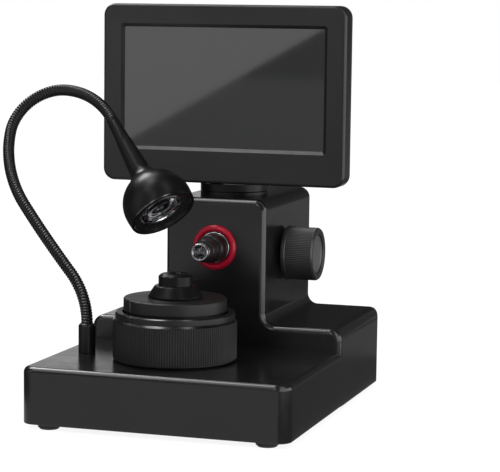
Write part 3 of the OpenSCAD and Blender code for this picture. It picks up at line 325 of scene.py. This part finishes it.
def rounded(profile, steps=6):
    """Profile of (r, h) or (r, h, corner radius): round corners become arcs."""
    out = []
    n = len(profile)
    for i, p in enumerate(profile):
        if len(p) < 3 or i in (0, n - 1):
            out.append((p[0], p[1]))
            continue
        a, b, c = (Vector(profile[j][:2]) for j in (i - 1, i, i + 1))
        u, w = (a - b).normalized(), (c - b).normalized()
        ang = u.angle(w)
        t = min(p[2] / math.tan(ang / 2), (a - b).length * 0.499, (c - b).length * 0.499)
        r = t * math.tan(ang / 2)
        mid = b + (u + w).normalized() * (r / math.sin(ang / 2))
        s, e = b + u * t - mid, b + w * t - mid
        a0 = math.atan2(s.y, s.x)
        da = math.atan2(e.y, e.x) - a0
        da = (da + math.pi) % (2 * math.pi) - math.pi
        for k in range(steps + 1):
            q = a0 + da * k / steps
            out.append((mid.x + r * math.cos(q), mid.y + r * math.sin(q)))
    return out


def lathe(name, node, profile, matrix, mat, body, segs=96, angle=30, radius=None):
    """Turns a profile about the local Z axis, in node's place. radius(segment, r, h) may change r."""
    verts, rows = [], []
    for r, h in rounded(profile):
        start = len(verts)
        if r < 1e-6:
            verts.append((0, 0, h))
        else:
            for i in range(segs):
                a = 2 * math.pi * i / segs
                q = radius(i, r, h) if radius else r
                verts.append((q * math.cos(a), q * math.sin(a), h))
        rows.append(range(start, len(verts)))
    faces = []
    for a, b in zip(rows, rows[1:]):
        for i in range(segs):
            j = (i + 1) % segs
            if len(a) == 1 and len(b) == 1:
                break
            if len(a) == 1:
                faces.append((a[0], b[j], b[i]))
            elif len(b) == 1:
                faces.append((a[i], a[j], b[0]))
            else:
                faces.append((a[i], a[j], b[j], b[i]))
    ob = solid(name, place(verts, matrix), faces, mat, body, angle)
    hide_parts(node)
    return ob


def grooved(every, depth, r_min, low, high, form):
    """Lathe radius with a groove every so many segments; form(0 to 1) is the depth across one rib."""
    def radius(i, r, h):
        if r < r_min or not low <= h <= high:
            return r
        return r - depth * form(i % every / every)
    return radius


def arc(cx, cy, r, a0, a1, n=14):
    turns = [math.radians(a0 + (a1 - a0) * i / n) for i in range(n + 1)]
    return [(cx + r * math.cos(a), cy + r * math.sin(a)) for a in turns]


def circle(r, n):
    return arc(0, 0, r, 0, 360 - 360 / n, n - 1)


SHARP = 0.01  # corner radius of a plain rectangle


def rect(w, d, r, inset=0.0, n=16):
    corners = ((w / 2 - r, r - d / 2, -90), (w / 2 - r, d / 2 - r, 0), (r - w / 2, d / 2 - r, 90),
               (r - w / 2, r - d / 2, 180))
    return [p for cx, cy, a0 in corners for p in arc(cx, cy, r - inset, a0, a0 + 90, n)]


def prism(name, outline, low, high, low_r, high_r, matrix, mat=None, body=None, steps=10):
    """Prism from low to high along local Z with rounded edges; outline(inset) gives the points."""
    turns = [math.pi / 2 * k / steps for k in range(steps + 1)]
    stack = [(0, low)]
    if low_r:
        stack = [(low_r * (1 - math.sin(t)), low + low_r * (1 - math.cos(t))) for t in turns]
    if high_r:
        stack += [(high_r * (1 - math.cos(t)), high - high_r * (1 - math.sin(t))) for t in turns]
    else:
        stack.append((0, high))
    verts = [(x, y, h) for inset, h in stack for x, y in outline(inset)]
    n = len(verts) // len(stack)
    faces = grid_faces(len(stack), n) + end_caps(n, len(verts))
    return solid(name, place(verts, matrix), faces, mat, body)


def plug(points, low, high, matrix):
    """Sharp prism that cut() takes away."""
    return prism("plug", lambda inset: points, low, high, 0, 0, matrix)


def at(x=0, y=0, z=0):
    return Matrix.Translation((x, y, z))


FRONTWARD = Matrix.Rotation(math.radians(90), 4, "X")
RIGHTWARD = Matrix.Rotation(math.radians(90), 4, "Y")


def turned(a):
    return Matrix.Rotation(math.radians(a), 4, "Z")


AX_BACK = at(0, BACK, 0) @ FRONTWARD
AX_LENS = at(0, BODY, LENS_Z) @ FRONTWARD
AX_KNOB = at(*KNOB) @ RIGHTWARD
AX_SCREEN = at(0, SCREEN_Y, SCREEN_Z0 + SCREEN_H / 2) @ FRONTWARD
AX_VIEW = AX_SCREEN @ at(0, CHIN + VIEW_H / 2 - SCREEN_H / 2, 0)
AX_TILT = at(0, NECK_Y, TILT_Z) @ RIGHTWARD
AX_NECK = at(0, NECK_Y, 0)
AX_STAGE = at(*STAGE, BASE_H)
AX_FERRULE = at(*FERRULE, BASE_H)


# ---------------------------------------------------------------- base and rear body
def body_outline(inset, z0=0.0):
    """Upside-down T of the rear body, with round shoulders, roots and column corners."""
    right = [(BASE_W / 2 - inset, z0)]
    right += arc(BASE_W / 2 - SHOULDER_R, SHOULDER_Z - SHOULDER_R, SHOULDER_R - inset, 0, 90)
    right += arc(HALF_C + ROOT_R, SHOULDER_Z + ROOT_R, ROOT_R + inset, 270, 180)
    right += arc(HALF_C - COLUMN_R, COLUMN_Z - COLUMN_R, COLUMN_R - inset, 0, 90)
    return right + [(-x, y) for x, y in reversed(right)]


def build_housing():
    deck_l = DECK_D + 12  # it runs on under the rear body
    deck = prism("housing_shell", lambda q: rect(BASE_W, deck_l, CORNER_R, q), 0, BASE_H,
                 FOOT_EDGE_R, EDGE_R, at(0, FRONT + deck_l / 2, 0), "black_moulding")
    rear = prism("rear", body_outline, 0, BACK - BODY, BACK_EDGE_R, EDGE_R, AX_BACK, "black_moulding")
    corners = []  # what lies outside the base's round corners at the back
    for side in (-1, 1):
        corner = plug(rect(13.2, 13.2, SHARP, n=1), -1, 60, at(side * 60.1, BACK + 0.1, 0))
        pillar = plug(circle(CORNER_R, 96), -2, 61,
                      at(side * (BASE_W / 2 - CORNER_R), BACK - CORNER_R, 0))
        inward = plug(rect(20, 30, SHARP, n=1), -3, 62, at(side * 43.5, BACK, 0))
        forward = plug(rect(30, 20, SHARP, n=1), -3, 62, at(side * 60, BACK - 16.5, 0))
        cut(corner, [pillar, inward, forward])
        corners.append(corner)
    cut(rear, corners)
    cut(deck, [rear], "UNION")
    cutters = [
        plug(rect(BASE_W - 2 * WALL, DECK_D + 8, CORNER_R - WALL, n=6), -1, BASE_H - WALL,
             at(0, FRONT + WALL + (DECK_D + 8) / 2, 0)),
        plug(body_outline(WALL, -1), WALL, BACK - BODY - WALL, AX_BACK),
        plug(rect(BASE_W - WALL, BASE_D - WALL, CORNER_R - WALL / 2, n=10), -1, 2, at())]
    # the rear cover's seat and, smaller, the openings behind it
    for less, r, n, depth in ((0, 2, 6, 1.4), (10, 1, 3, 4)):
        for w, h, z in ((96, 24.4, 18.2), (39.5, 81.1, 46.55)):
            cutters.append(plug(rect(w - less, h - less, r, n=n), -1, depth, at(0, BACK, z) @ FRONTWARD))
    # holes for the lens, the ferrule, the neck and the focus shaft
    cutters += [
        plug(circle(7.1, 64), -5, 2, AX_LENS),
        plug(circle(2.62, 32), 20, 26, at(*FERRULE, 0)),
        plug(circle(5.05, 48), 85, 95, AX_NECK),
        plug(circle(4.0, 48), 18, 26, at(0, KNOB[1], KNOB[2]) @ RIGHTWARD)]
    cut(deck, cutters)
    finish_shell(deck, "housing", "base_housing", 32)


build_housing()


def trim_ring(mid, r, lift, n=20):
    """Closed round section standing on the housing's face."""
    turns = [math.radians(-13 + (180 + 26) * i / n) for i in range(n + 1)]
    points = [(mid + r * math.cos(a), max(0.0, lift + r * math.sin(a))) for a in turns]
    return points + points[:1]


lathe("red_trim_ring", "red_ring", trim_ring(8.8, 1.55, 0.35),
      AX_LENS, "red_plastic", "housing", 128, 40)
lathe("lens_bush_lip", "lens_bush", [
    (6.46, -4.5), (6.46, 1.0, 0.25), (7.08, 1.0, 0.35), (7.08, -2.6), (9.4, -2.6), (9.4, -4.5),
    (6.46, -4.5)],
    AX_LENS, "bright_bush", "housing", 96, 35)


# ---------------------------------------------------------------- lens
def barrel_profile():
    z = LENS_REACH
    points = [(0, z - 8), (2.2, z - 8), (2.2, z - 2.01), (3.2, z - 2.01), (3.2, z - 5), (4.7, z - 5.2, 0.1),
              (5.2, z - 5.6, 0.15)]
    for k in range(4):
        g = z - 6.5 - 1.5 * k
        points += [(5.2, g, 0.1), (4.85, g - 0.1), (4.85, g - 0.5), (5.2, g - 0.6, 0.1)]
    return points + [(5.2, z - 13.3), (5.9, z - 13.5, 0.2), (6.4, z - 14.1, 0.2), (6.4, -43), (4.6, -43),
                     (4.6, z - 20), (0, z - 20)]


def collar_profile():
    z = LENS_REACH
    return [(3.22, z - 5), (3.22, z - 2), (2.9, z - 2), (2.9, z - 0.5, 0.05), (3.2, z - 0.1, 0.05),
            (3.4, z, 0.1), (3.75, z, 0.15), (4.0, z - 0.35, 0.15), (4.0, z - 1.6, 0.1), (3.75, z - 1.7),
            (3.75, z - 2.1), (4.0, z - 2.2, 0.1), (4.0, z - 5), (3.22, z - 5)]


lathe("lens_barrel_turned", "lens_barrel", barrel_profile(),
      AX_LENS, "black_anodised", "lens_carriage", 96, 28)
lathe("lens_front_collar", "lens_front_ring", collar_profile(),
      AX_LENS, "lens_ring_metal", "lens_carriage")

# ---------------------------------------------------------------- focus knob
KNOB_RIBS, RIB_SEGS = 90, 6
lathe("focus_knob_body", "focus_knob", [
    (2.03, 0), (12.2, 0, 0.3), (12.6, 0.5, 0.3), (12.6, 1.9, 0.3), (12.28, 2.2), (12.28, 13.9),
    (12.2, 14.5, 0.3), (11.7, 15.25, 0.3), (10.9, 15.3, 0.3), (9.2, 14.9, 0.2), (8.9, 13.5), (8.87, 13.3),
    (2.03, 13.3), (2.03, 0)],
    AX_KNOB, "knob_plastic", "focus_control", KNOB_RIBS * RIB_SEGS, 35,
    grooved(RIB_SEGS, 0.34, 12.25, 2.3, 14.0, lambda k: 0.5 - 0.5 * math.cos(2 * math.pi * k)))
lathe("knob_end_disc", "knob_cap", [
    (0, 13.3), (8.85, 13.3), (8.85, 14.3, 0.25), (7.9, 14.5, 0.3), (7.5, 14.2, 0.2), (6.2, 14.05),
    (0, 14.05)],
    AX_KNOB, "knob_cap_plastic", "focus_control")


# ---------------------------------------------------------------- screen
def screen_inside(low, high):
    w, h = SCREEN_W - 2 * SCREEN_WALL, SCREEN_H - 2 * SCREEN_WALL
    return plug(rect(w, h, SCREEN_R - SCREEN_WALL, n=8), low, high, AX_SCREEN)


def build_bezel():
    ob = prism("screen_front_frame", lambda q: rect(SCREEN_W, SCREEN_H, SCREEN_R, q), -8.45, 0,
               0.25, 1.6, AX_SCREEN, "screen_moulding")
    hole = plug(rect(VIEW_W, VIEW_H, 0.6, n=3), -9, 1, AX_VIEW)
    rim_w, rim_h = VIEW_W + 2 * BEVEL_W, VIEW_H + 2 * BEVEL_W
    low, rim = rect(VIEW_W, VIEW_H, 0.6, n=4), rect(rim_w, rim_h, 1.4, n=4)
    verts = [(x, y, h) for h, ring in ((-RECESS, low), (0.0, rim), (1.0, rim)) for x, y in ring]
    n = len(low)
    bevel = solid("bevel", place(verts, AX_VIEW), grid_faces(3, n) + end_caps(n, 3 * n))
    pocket = plug(rect(rim_w, rim_h, 0.3, n=2), -9, -RECESS, AX_VIEW)
    cut(ob, [screen_inside(-9, -3), hole, bevel, pocket])
    finish_shell(ob, "screen", "screen_bezel")


def build_back():
    ob = prism("screen_rear_shell", lambda q: rect(SCREEN_W, SCREEN_H, SCREEN_R, q), -SCREEN_T, -8.5,
               2.0, 0.25, AX_SCREEN, "screen_moulding")
    cutters = [screen_inside(-10.2, -8)]
    for i in range(8):
        cutters.append(plug(rect(34, 1.2, 0.59, n=5), -13, -9, AX_SCREEN @ at(0, 14 + 2.6 * i, 0)))
    for x in (-52.8, 52.8):
        for y in (-35.55, 35.55):
            cutters.append(plug(circle(2.2, 32), -13, -11.0, AX_SCREEN @ at(x, y, 0)))
    cut(ob, cutters)
    r, reach = 5.7, -7.9
    knuckle = prism("knuckle", lambda q: arc(0, 0, r - q, -90, 90, 32) + [(reach, r - q), (reach, q - r)],
                    -7, 7, 0.4, 0.4, AX_TILT @ turned(90))
    cut(ob, [knuckle], "UNION")
    cut(ob, [plug(circle(1.65, 32), -9, 9, AX_TILT)])
    finish_shell(ob, "screen", "screen_back_cover")


build_bezel()
build_back()
lathe("neck_lower_disc", "neck_base", [
    (5.05, COLUMN_Z), (15.6, COLUMN_Z), (15.6, 93.8, 0.35), (5.05, 93.8), (5.05, COLUMN_Z)],
    AX_NECK, "neck_plastic", "housing", 128)

# ---------------------------------------------------------------- stage
KNURLS, KNURL_SEGS = 150, 6
ring = lathe("height_ring_knurled", "height_ring", [
    (24.2, 0.7), (25.2, 0.4), (26.6, 0.4, 0.2), (27.05, 0.9, 0.2), (27.05, 1.4), (27.15, 1.5),
    (27.15, 17.4), (27.1, 17.55), (27.05, 17.65, 0.1), (26.25, 18.5, 0.1), (26.1, 18.55), (26.1, 18.75),
    (26.2, 18.85), (26.2, 20.95, 0.1), (25.75, 21.4, 0.1), (23.2, 21.4, 0.25), (22.9, 21.0, 0.2),
    (22.9, 18.3), (24.2, 18.3), (24.2, 3.45), (24.2, 0.7)],
    AX_STAGE, "ring_metal", "stage_ring", KNURLS * KNURL_SEGS, 35,
    grooved(KNURL_SEGS, 0.3, 27.12, 1.45, 17.45, lambda k: abs(math.sin(math.pi * k)) ** 0.7))
# the two upper chamfers take a brighter metal: painted highlight lines along the ring's top edges
ring.data.materials.append(MAT["painted_highlight_edge"])
for face in ring.data.polygons:
    h = face.center.z / MM - BASE_H
    if 17.6 < h < 18.52 or 20.96 < h < 21.38:
        face.material_index = 1
lathe("platform_turned", "stage_platform", [
    (5.05, 22.5), (5.05, 27.5, 0.2), (22.15, 27.5, 0.15), (22.6, 27.05, 0.15), (22.6, 22.1, 0.2),
    (22.3, 21.8, 0.1), (21.7, 21.8), (21.7, 13.4), (23.9, 13.4, 0.2), (23.9, 9.3, 0.2), (20.2, 9.3),
    (20.2, 23.0), (10.3, 23.0), (5.05, 22.5)],
    AX_STAGE, "platform_metal", "platform", 160)
line = prism("platform_index_line", lambda q: rect(0.22, 4.6, 0.1, q, 3), 0, 0.12, 0, 0,
             AX_STAGE @ turned(-130) @ at(22.5, 0, 24.6) @ RIGHTWARD @ turned(90), "plain_steel", "platform")
line.data.materials[0] = MAT["index_line"]
lathe("stone_holder_turned", "stone_holder", [
    (0, 23.5), (4.6, 23.5, 0.2), (5.0, 23.9), (5.0, 27.7), (11.7, 27.7, 0.1), (12.0, 27.85, 0.1),
    (12.0, 28.3, 0.2), (9.3, 32.4, 0.4), (8.9, 32.8, 0.2), (7.4, 32.8, 0.1), (7.4, 36.9, 0.2),
    (6.2, 37.95, 0.3), (2.3, 38.0, 0.2), (2.0, 37.7), (2.0, 34.0), (0, 34.0)],
    AX_STAGE, "holder_metal", "holder", 128, 28)


# ---------------------------------------------------------------- flexible arm and lamp
def arc_end(r, a):
    c, s = math.cos(math.radians(a)), math.sin(math.radians(a))
    return Matrix(((c, 0, s, r * (1 - c)), (0, 1, 0, 0), (-s, 0, c, r * s), (0, 0, 0, 1)))


def arm_at(s):
    """Frame of the arm s millimetres along it from the ferrule."""
    f = at(*FERRULE, ARM_Z)
    if s <= 0:
        return f @ at(0, 0, s)
    for r, a, t in ARM:
        length = r * math.radians(a)
        if s <= length:
            return f @ turned(t) @ arc_end(r, math.degrees(s / r))
        f = f @ turned(t) @ arc_end(r, a)
        s -= length
    return f @ at(0, 0, s)


def hose_radius(s):
    """Round ribs with a narrow groove between them."""
    across = 2 * (s / RIB % 1) - 1
    return HOSE_R - RIB_DEPTH * (1 - math.sqrt(max(0.0, 1 - across * across)))


def hose(name, s0, s1, a, b, joint_s, parts):
    """Ribbed hose between two distances along the arm. The bodies a and b are not used."""
    pitch = RIB / RIB_STEPS
    inner = [k * pitch for k in range(math.floor(s0 / pitch) + 1, math.ceil(s1 / pitch))]
    stations = [(s, hose_radius(s)) for s in [s0] + inner + [s1]]
    stations = [(s0, HOSE_CORE_R)] + stations + [(s1, HOSE_CORE_R)]
    across, along = Vector((1, 0, 0)), Vector((0, 0, 1))
    up = (arm_at(s0).to_3x3() @ across).normalized()
    verts = []
    for s, r in stations:
        m = arm_at(s)
        t = (m.to_3x3() @ along).normalized()
        up = (up - t * up.dot(t)).normalized()  # so that the hose doesn't twist
        side = t.cross(up)
        for i in range(HOSE_SEGS):
            q = 2 * math.pi * i / HOSE_SEGS
            verts.append(tuple(m.translation + (up * math.cos(q) + side * math.sin(q)) * r))
    faces = grid_faces(len(stations), HOSE_SEGS) + end_caps(HOSE_SEGS, len(verts))
    ob = solid(name, verts, faces, "arm_metal", None, 60)
    joint = arm_at(joint_s)
    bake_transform(ob)
    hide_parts(*parts)
    return ob


ARM_L = [r * math.radians(a) for r, a, _ in ARM]
ARM_TOTAL = sum(ARM_L)
ROOT_JOINT, LEAN_JOINT = ARM_L[0], sum(ARM_L[:3])
LOW_SEAM, HIGH_SEAM = ROOT_JOINT + ARM_L[1] / 2, LEAN_JOINT + ARM_L[3] / 2
AX_LAMP = arm_at(ARM_TOTAL)

hoses = [hose(*stretch) for stretch in (
    ("flexible_hose_lower", -0.6, LOW_SEAM, "arm_lower", "arm_middle", ROOT_JOINT, ("arm_root", "arm_rise")),
    ("flexible_hose_middle", LOW_SEAM, HIGH_SEAM, "arm_middle", "arm_upper", LEAN_JOINT,
     ("arm_lean", "arm_crown")),
    ("flexible_hose_upper", HIGH_SEAM, ARM_TOTAL + 0.3, "arm_upper", "lamp", ARM_TOTAL, ("arm_drop",)))]
lathe("arm_ferrule_turned", "lamp_ferrule", [
    (0, -6.6), (2.58, -6.6), (2.58, 0), (3.7, 0.0, 0.1), (3.8, 0.15), (3.8, 12.0, 0.25), (3.25, 12.85, 0.25),
    (2.85, 13.0, 0.1), (2.3, 12.7), (2.3, 4.2), (0, 4.2)],
    AX_FERRULE, "ferrule_metal", "housing", 64)
sleeve = lathe("lamp_sleeve_turned", "lamp_sleeve", [
    (0, 0.25), (2.5, 0.25), (2.75, 0.4, 0.1), (2.75, 2.2, 0.1), (2.85, 2.6), (3.25, 11.6), (3.3, 12.8, 0.15),
    (3.1, 12.95), (0, 12.95)],
    AX_LAMP, "lamp_metal", "lamp", 64, 28)


def bell_profile():
    """Dome with a hollow blend down to its slender neck."""
    zc, blend_r, neck_r = LAMP_L - 5.7, 8.0, 4.8
    a0 = math.degrees(math.acos((neck_r + blend_r) / (BELL_R + blend_r)))
    zj = zc - (BELL_R + blend_r) * math.sin(math.radians(a0))
    points = [(0, 13.0), (3.25, 13.0), (3.5, 13.25), (4.05, 20), (neck_r, zj)]
    points += arc(neck_r + blend_r, zj, blend_r, 180, 180 - a0, 10)[1:]
    points += arc(0, zc, BELL_R, -a0, 0, 40)[1:]
    return points + [
        (15.55, zc + 2), (15.3, LAMP_L - 0.7), (15.1, LAMP_L - 0.15), (14.8, LAMP_L), (14.25, LAMP_L),
        (14.0, LAMP_L - 0.2), (13.85, LAMP_L - 1.2), (14.07, zc), (13.75, LED_Z), (0, LED_Z)]


def reflector_profile(rings=4, steps=6, bulge=0.22):
    """Bowl made of convex rings, between the LED board and the lens, and its plain outside."""
    low, high = (3.6, LED_Z + 1.25), (LENS_R - 0.8, LENS_Z0 - 0.05)
    points = []
    for i in range(rings * steps + 1):
        f = i / (rings * steps)
        swell = bulge * abs(math.sin(math.pi * f * rings))
        points.append((low[0] + (high[0] - low[0]) * f ** 0.8 - swell, low[1] + (high[1] - low[1]) * f))
    return points + [(LENS_R, high[1]), (5.0, low[1]), low]


bell = lathe("lamp_bell_turned", "lamp_bell", bell_profile(), AX_LAMP, "lamp_metal", "lamp", 128, 40)
# the neck's seam and the outer lip take a brighter metal: painted highlight lines on the black lamp
bell.data.materials.append(MAT["painted_highlight_edge"])
for face in bell.data.polygons:
    spot = AX_LAMP.inverted() @ (face.center / MM)
    if spot.z < 13.3 or (spot.z > LAMP_L - 0.75 and math.hypot(spot.x, spot.y) > 14.2):
        face.material_index = 1

retainer = lathe("lens_retainer_ring", "lens_retainer", [
    (12.5, 46.4), (13.4, 46.4), (13.72, 52.0), (13.6, 52.5, 0.2), (12.9, 52.4, 0.2), (10.2, 51.8, 0.3),
    (9.7, 52.35, 0.2), (9.45, 52.2), (9.45, 50.7), (12.5, 50.7), (12.5, 46.4)],
    AX_LAMP, "retainer_plastic", "lamp")
reflector = lathe("lamp_reflector_bowl", "lamp_reflector", reflector_profile(),
                  AX_LAMP, "reflector_plating", "lamp", 96, 50)
lens = lathe("lamp_lens_dome", "lamp_lens", [
    (0, LENS_Z0), (LENS_R, LENS_Z0), (LENS_R, LENS_Z0 + 1.0, 0.2), (8.3, LENS_Z0 + 1.1),
    (7.9, LENS_Z0 + 0.85), (7.3, LENS_Z0 + 1.05), (5.6, LENS_Z0 + 1.4), (3.4, LENS_Z0 + 1.56),
    (0, LENS_Z0 + 1.6)],
    AX_LAMP, "clear_glass", "lamp")

# the arm and lamp hang before the display; as in the retouched photograph, other pieces don't mirror them
for ob in hoses + [sleeve, bell, retainer, reflector, lens]:
    ob.visible_glossy = False
for body in ("arm_lower", "arm_middle", "arm_upper", "lamp"):
    for name in frame["record"]["behaviour"]["bodies"][body]:
        nodes[name].visible_glossy = False

# ---------------------------------------------------------------- materials on the CAD nodes that stay
for sub in frame["record"]["subparts"]:
    ob = nodes[sub["node"]]
    ob.data.materials.clear()
    ob.data.materials.append(MAT[sub["material_slot"]])

# ---------------------------------------------------------------- floor and world
GROUND = -2.5
FLOOR_REACH = 4000
FLOOR_SEEN, FLOOR_GLOSS = 1.12, 0.64
SKY_DIFFUSE = 0.85


def floor_material():
    """Pale floor that camera, glossy and transmission rays see brighter than it is lit."""
    m = bpy.data.materials.new("pale_floor")
    m.use_nodes = True
    nt = m.node_tree
    p = nt.nodes["Principled BSDF"]
    p.inputs["Base Color"].default_value = (0.86, 0.86, 0.86, 1)
    p.inputs["Roughness"].default_value = 0.9
    p.inputs["Specular IOR Level"].default_value = 0.0
    e = nt.nodes.new("ShaderNodeEmission")
    lp = nt.nodes.new("ShaderNodeLightPath")

    def weigh(camera, glossy, through):
        total = None
        shares = (("Is Camera Ray", camera), ("Is Glossy Ray", glossy), ("Is Transmission Ray", through))
        for ray, share in shares:
            part = nt.nodes.new("ShaderNodeMath")
            part.operation = "MULTIPLY"
            part.inputs[1].default_value = share
            nt.links.new(lp.outputs[ray], part.inputs[0])
            if total is None:
                total = part.outputs[0]
            else:
                both = nt.nodes.new("ShaderNodeMath")
                both.operation = "MAXIMUM"
                nt.links.new(total, both.inputs[0])
                nt.links.new(part.outputs[0], both.inputs[1])
                total = both.outputs[0]
        return total

    nt.links.new(weigh(FLOOR_SEEN, FLOOR_GLOSS, FLOOR_SEEN), e.inputs["Strength"])
    mix = nt.nodes.new("ShaderNodeMixShader")
    nt.links.new(weigh(0.8, 1.0, 0.8), mix.inputs[0])
    nt.links.new(p.outputs[0], mix.inputs[1])
    nt.links.new(e.outputs[0], mix.inputs[2])
    nt.links.new(mix.outputs[0], nt.nodes["Material Output"].inputs[0])
    return m


def world():
    """White to the camera, a grey gradient to glossy rays and an even pale light to the rest."""
    w = bpy.data.worlds.new("studio")
    scene.world = w
    w.use_nodes = True
    nt = w.node_tree
    tc = nt.nodes.new("ShaderNodeTexCoord")
    sep = nt.nodes.new("ShaderNodeSeparateXYZ")
    nt.links.new(tc.outputs["Generated"], sep.inputs[0])
    lp = nt.nodes.new("ShaderNodeLightPath")

    def choose(ray, others, shown):
        mix = nt.nodes.new("ShaderNodeMix")
        mix.data_type = "RGBA"
        nt.links.new(lp.outputs[ray], mix.inputs["Factor"])
        for socket, value in ((mix.inputs[6], others), (mix.inputs[7], shown)):
            if isinstance(value, tuple):
                socket.default_value = value
            else:
                nt.links.new(value, socket)
        return mix.outputs[2]

    gradient = levels(nt, sep.outputs["Z"], (0.0, 0.34), (0.12, 0.3), (0.3, 0.16), (0.7, 0.1))
    seen = choose("Is Glossy Ray", (SKY_DIFFUSE, SKY_DIFFUSE, SKY_DIFFUSE, 1), gradient)
    nt.links.new(choose("Is Camera Ray", seen, (1, 1, 1, 1)), nt.nodes["Background"].inputs["Color"])


def stage_mesh(name, verts, faces, mat):
    me = bpy.data.meshes.new(name)
    me.from_pydata(metres(verts), [], faces)
    me.materials.append(mat)
    ob = bpy.data.objects.new(name, me)
    scene.collection.objects.link(ob)
    ob.visible_shadow = False
    return ob


def flat(x0, x1, y0, y1, z):
    return [(x0, y0, z), (x1, y0, z), (x1, y1, z), (x0, y1, z)]


stage_mesh("floor", flat(-FLOOR_REACH, FLOOR_REACH, -FLOOR_REACH, FLOOR_REACH, GROUND), [(0, 1, 2, 3)],
           floor_material())
world()


# ---------------------------------------------------------------- lights
def area(name, loc, size, power, target=(0, 0, 60)):
    d = bpy.data.lights.new(name, "AREA")
    d.shape = "RECTANGLE"
    d.size, d.size_y = size[0] * MM, size[1] * MM
    d.energy = power
    ob = bpy.data.objects.new(name, d)
    scene.collection.objects.link(ob)
    ob.location = Vector(loc) * MM
    ob.rotation_euler = (Vector(target) - Vector(loc)).to_track_quat("-Z", "Y").to_euler()
    ob.visible_glossy = False
    ob.visible_transmission = False


area("key", (-500, -900, 900), (900, 700), 7)
area("fill", (700, -700, 600), (700, 600), 4)


# ---------------------------------------------------------------- cards that only reflections see
def card(name, strength, verts, faces=None):
    m = bpy.data.materials.new(name + "_light")
    m.use_nodes = True
    nt = m.node_tree
    nt.nodes.clear()
    o = nt.nodes.new("ShaderNodeOutputMaterial")
    e = nt.nodes.new("ShaderNodeEmission")
    e.inputs["Strength"].default_value = strength
    nt.links.new(e.outputs[0], o.inputs[0])
    ob = stage_mesh(name, verts, faces or [tuple(range(len(verts)))], m)
    ob.visible_camera = ob.visible_diffuse = False


def upright(x0, x1, y, z0, z1):
    return [(x0, y, z0), (x1, y, z0), (x1, y, z1), (x0, y, z1)]


def curved(name, strength, radius, az0, az1, el0, el1, steps=12):
    """Strip of a sphere round the object; azimuth runs from straight ahead of it towards its right."""
    verts = []
    for i in range(steps + 1):
        az = math.radians(az0 + (az1 - az0) * i / steps)
        for el in (math.radians(el0), math.radians(el1)):
            out = radius * math.cos(el)
            verts.append((out * math.sin(az), -out * math.cos(az), 40 + radius * math.sin(el)))
    card(name, strength, verts, [(2 * i, 2 * i + 2, 2 * i + 3, 2 * i + 1) for i in range(steps)])


def floor_sector(name, strength, r0, r1, az0, az1, step=4):
    """Ring sector lying on the floor round the object, azimuth as in curved()."""
    turns = [math.radians(q) for q in range(az0, az1 + 1, step)]
    near, far = ([(50 + r * math.sin(a), -20 - r * math.cos(a), -1.6) for a in way]
                 for r, way in ((r0, turns), (r1, turns[::-1])))
    card(name, strength, near + far)


# the right flank and the shoulders
RIGHT_FLAGS = ((-60, 150, 0.08), (150, 330, 0.16), (330, 560, 0.03), (560, 1500, 0.22))
for k, (y0, y1, level) in enumerate(RIGHT_FLAGS):
    card("flag_right_%d" % k, level, flat(62, 700, y0, y1, -2.0))
card("card_back_right", 0.06, upright(520, 60, 430, 132, 460))
card("card_far_right", 0.08, upright(1000, 150, 1505, -2.4, 400))
curved("strip_right", 2.6, 800, 33, 125, -3, 25)
floor_sector("floor_glow_right", 2.6, 230, 840, 33, 125)
floor_sector("floor_flag_far", 0.04, 842, 1750, -8, 92)
card("floor_flag_corner", 0.12, [
    (60, -92, -1.9), (150, -300, -1.9), (300, -250, -1.9), (320, -60, -1.9), (62, -60, -1.9),
    (62, -78, -1.9)])
# the deck, which mirrors what stands behind it
card("card_left", 0.85, upright(-110, -330, 420, -2.4, 170))
card("card_back", 0.03, upright(60, -800, 425, -2.4, 330))
card("floor_flag_left", 0.05, [
    (-110, -150, -1.9), (-110, 415, -1.9), (-1000, 415, -1.9), (-1000, -150, -1.9)])
curved("flag_left", 0.03, 950, -125, -50, -3, 32)
# the display's two-tone diagonal and its frame
card("card_front", 1.95, [(-345, -700, 51.1), (-130, -700, 172.3), (-130, -700, 190), (-345, -700, 190)])
card("card_near", 0.9, upright(-420, -140, -200, 75, 330))
card("flag_screen_foot", 0.15, upright(-150, -10, -260, 58, 79))
card("flag_bezel_side", 0.02, [(66, -8, 88), (66, -80, 88), (66, -80, 200), (66, -8, 200)])
# upper edges, the lamp's shoulder and the hose's ribs
card("strip_over", 2.8, [
    (-520, -850, 900), (-170, -850, 900), (-170, 450, 900), (-760, 450, 900), (-760, 150, 900),
    (-520, 50, 900)])
card("strip_over_core", 10.0, flat(-340, -150, -230, 10, 896))
curved("card_upper_left", 15.0, 700, -136, -102, 42, 60)
curved("strip_corner", 2.0, 820, 50, 85, 25, 80)
curved("strip_ribs_left", 4.5, 900, -8, -1, 15, 48)
curved("strip_ribs_right", 4.5, 900, 38, 46, 10, 46)

# ---------------------------------------------------------------- camera, fitted to the photograph
CAMERA_AT = (281.05, -837.9, 177.99)
YAW, PITCH, ROLL = (math.radians(a) for a in (17.43, 6.61, 0.73))
FOCAL_PIXELS, IMAGE_W, SENSOR_W = 1966.33, 500, 36


def camera():
    forward = Vector((-math.sin(YAW) * math.cos(PITCH), math.cos(YAW) * math.cos(PITCH), -math.sin(PITCH)))
    level = Vector((math.cos(YAW), math.sin(YAW), 0))
    up = level.cross(forward)
    right = level * math.cos(ROLL) + up * math.sin(ROLL)
    up = up * math.cos(ROLL) - level * math.sin(ROLL)
    m = Matrix((right, up, -forward)).transposed().to_4x4()
    m.translation = Vector(CAMERA_AT) * MM
    d = bpy.data.cameras.new("camera")
    d.sensor_width = SENSOR_W
    d.lens = FOCAL_PIXELS / IMAGE_W * SENSOR_W
    d.clip_start = 0.01
    ob = bpy.data.objects.new("camera", d)
    scene.collection.objects.link(ob)
    ob.matrix_world = m
    scene.camera = ob


camera()
scene.view_settings.view_transform = "Standard"
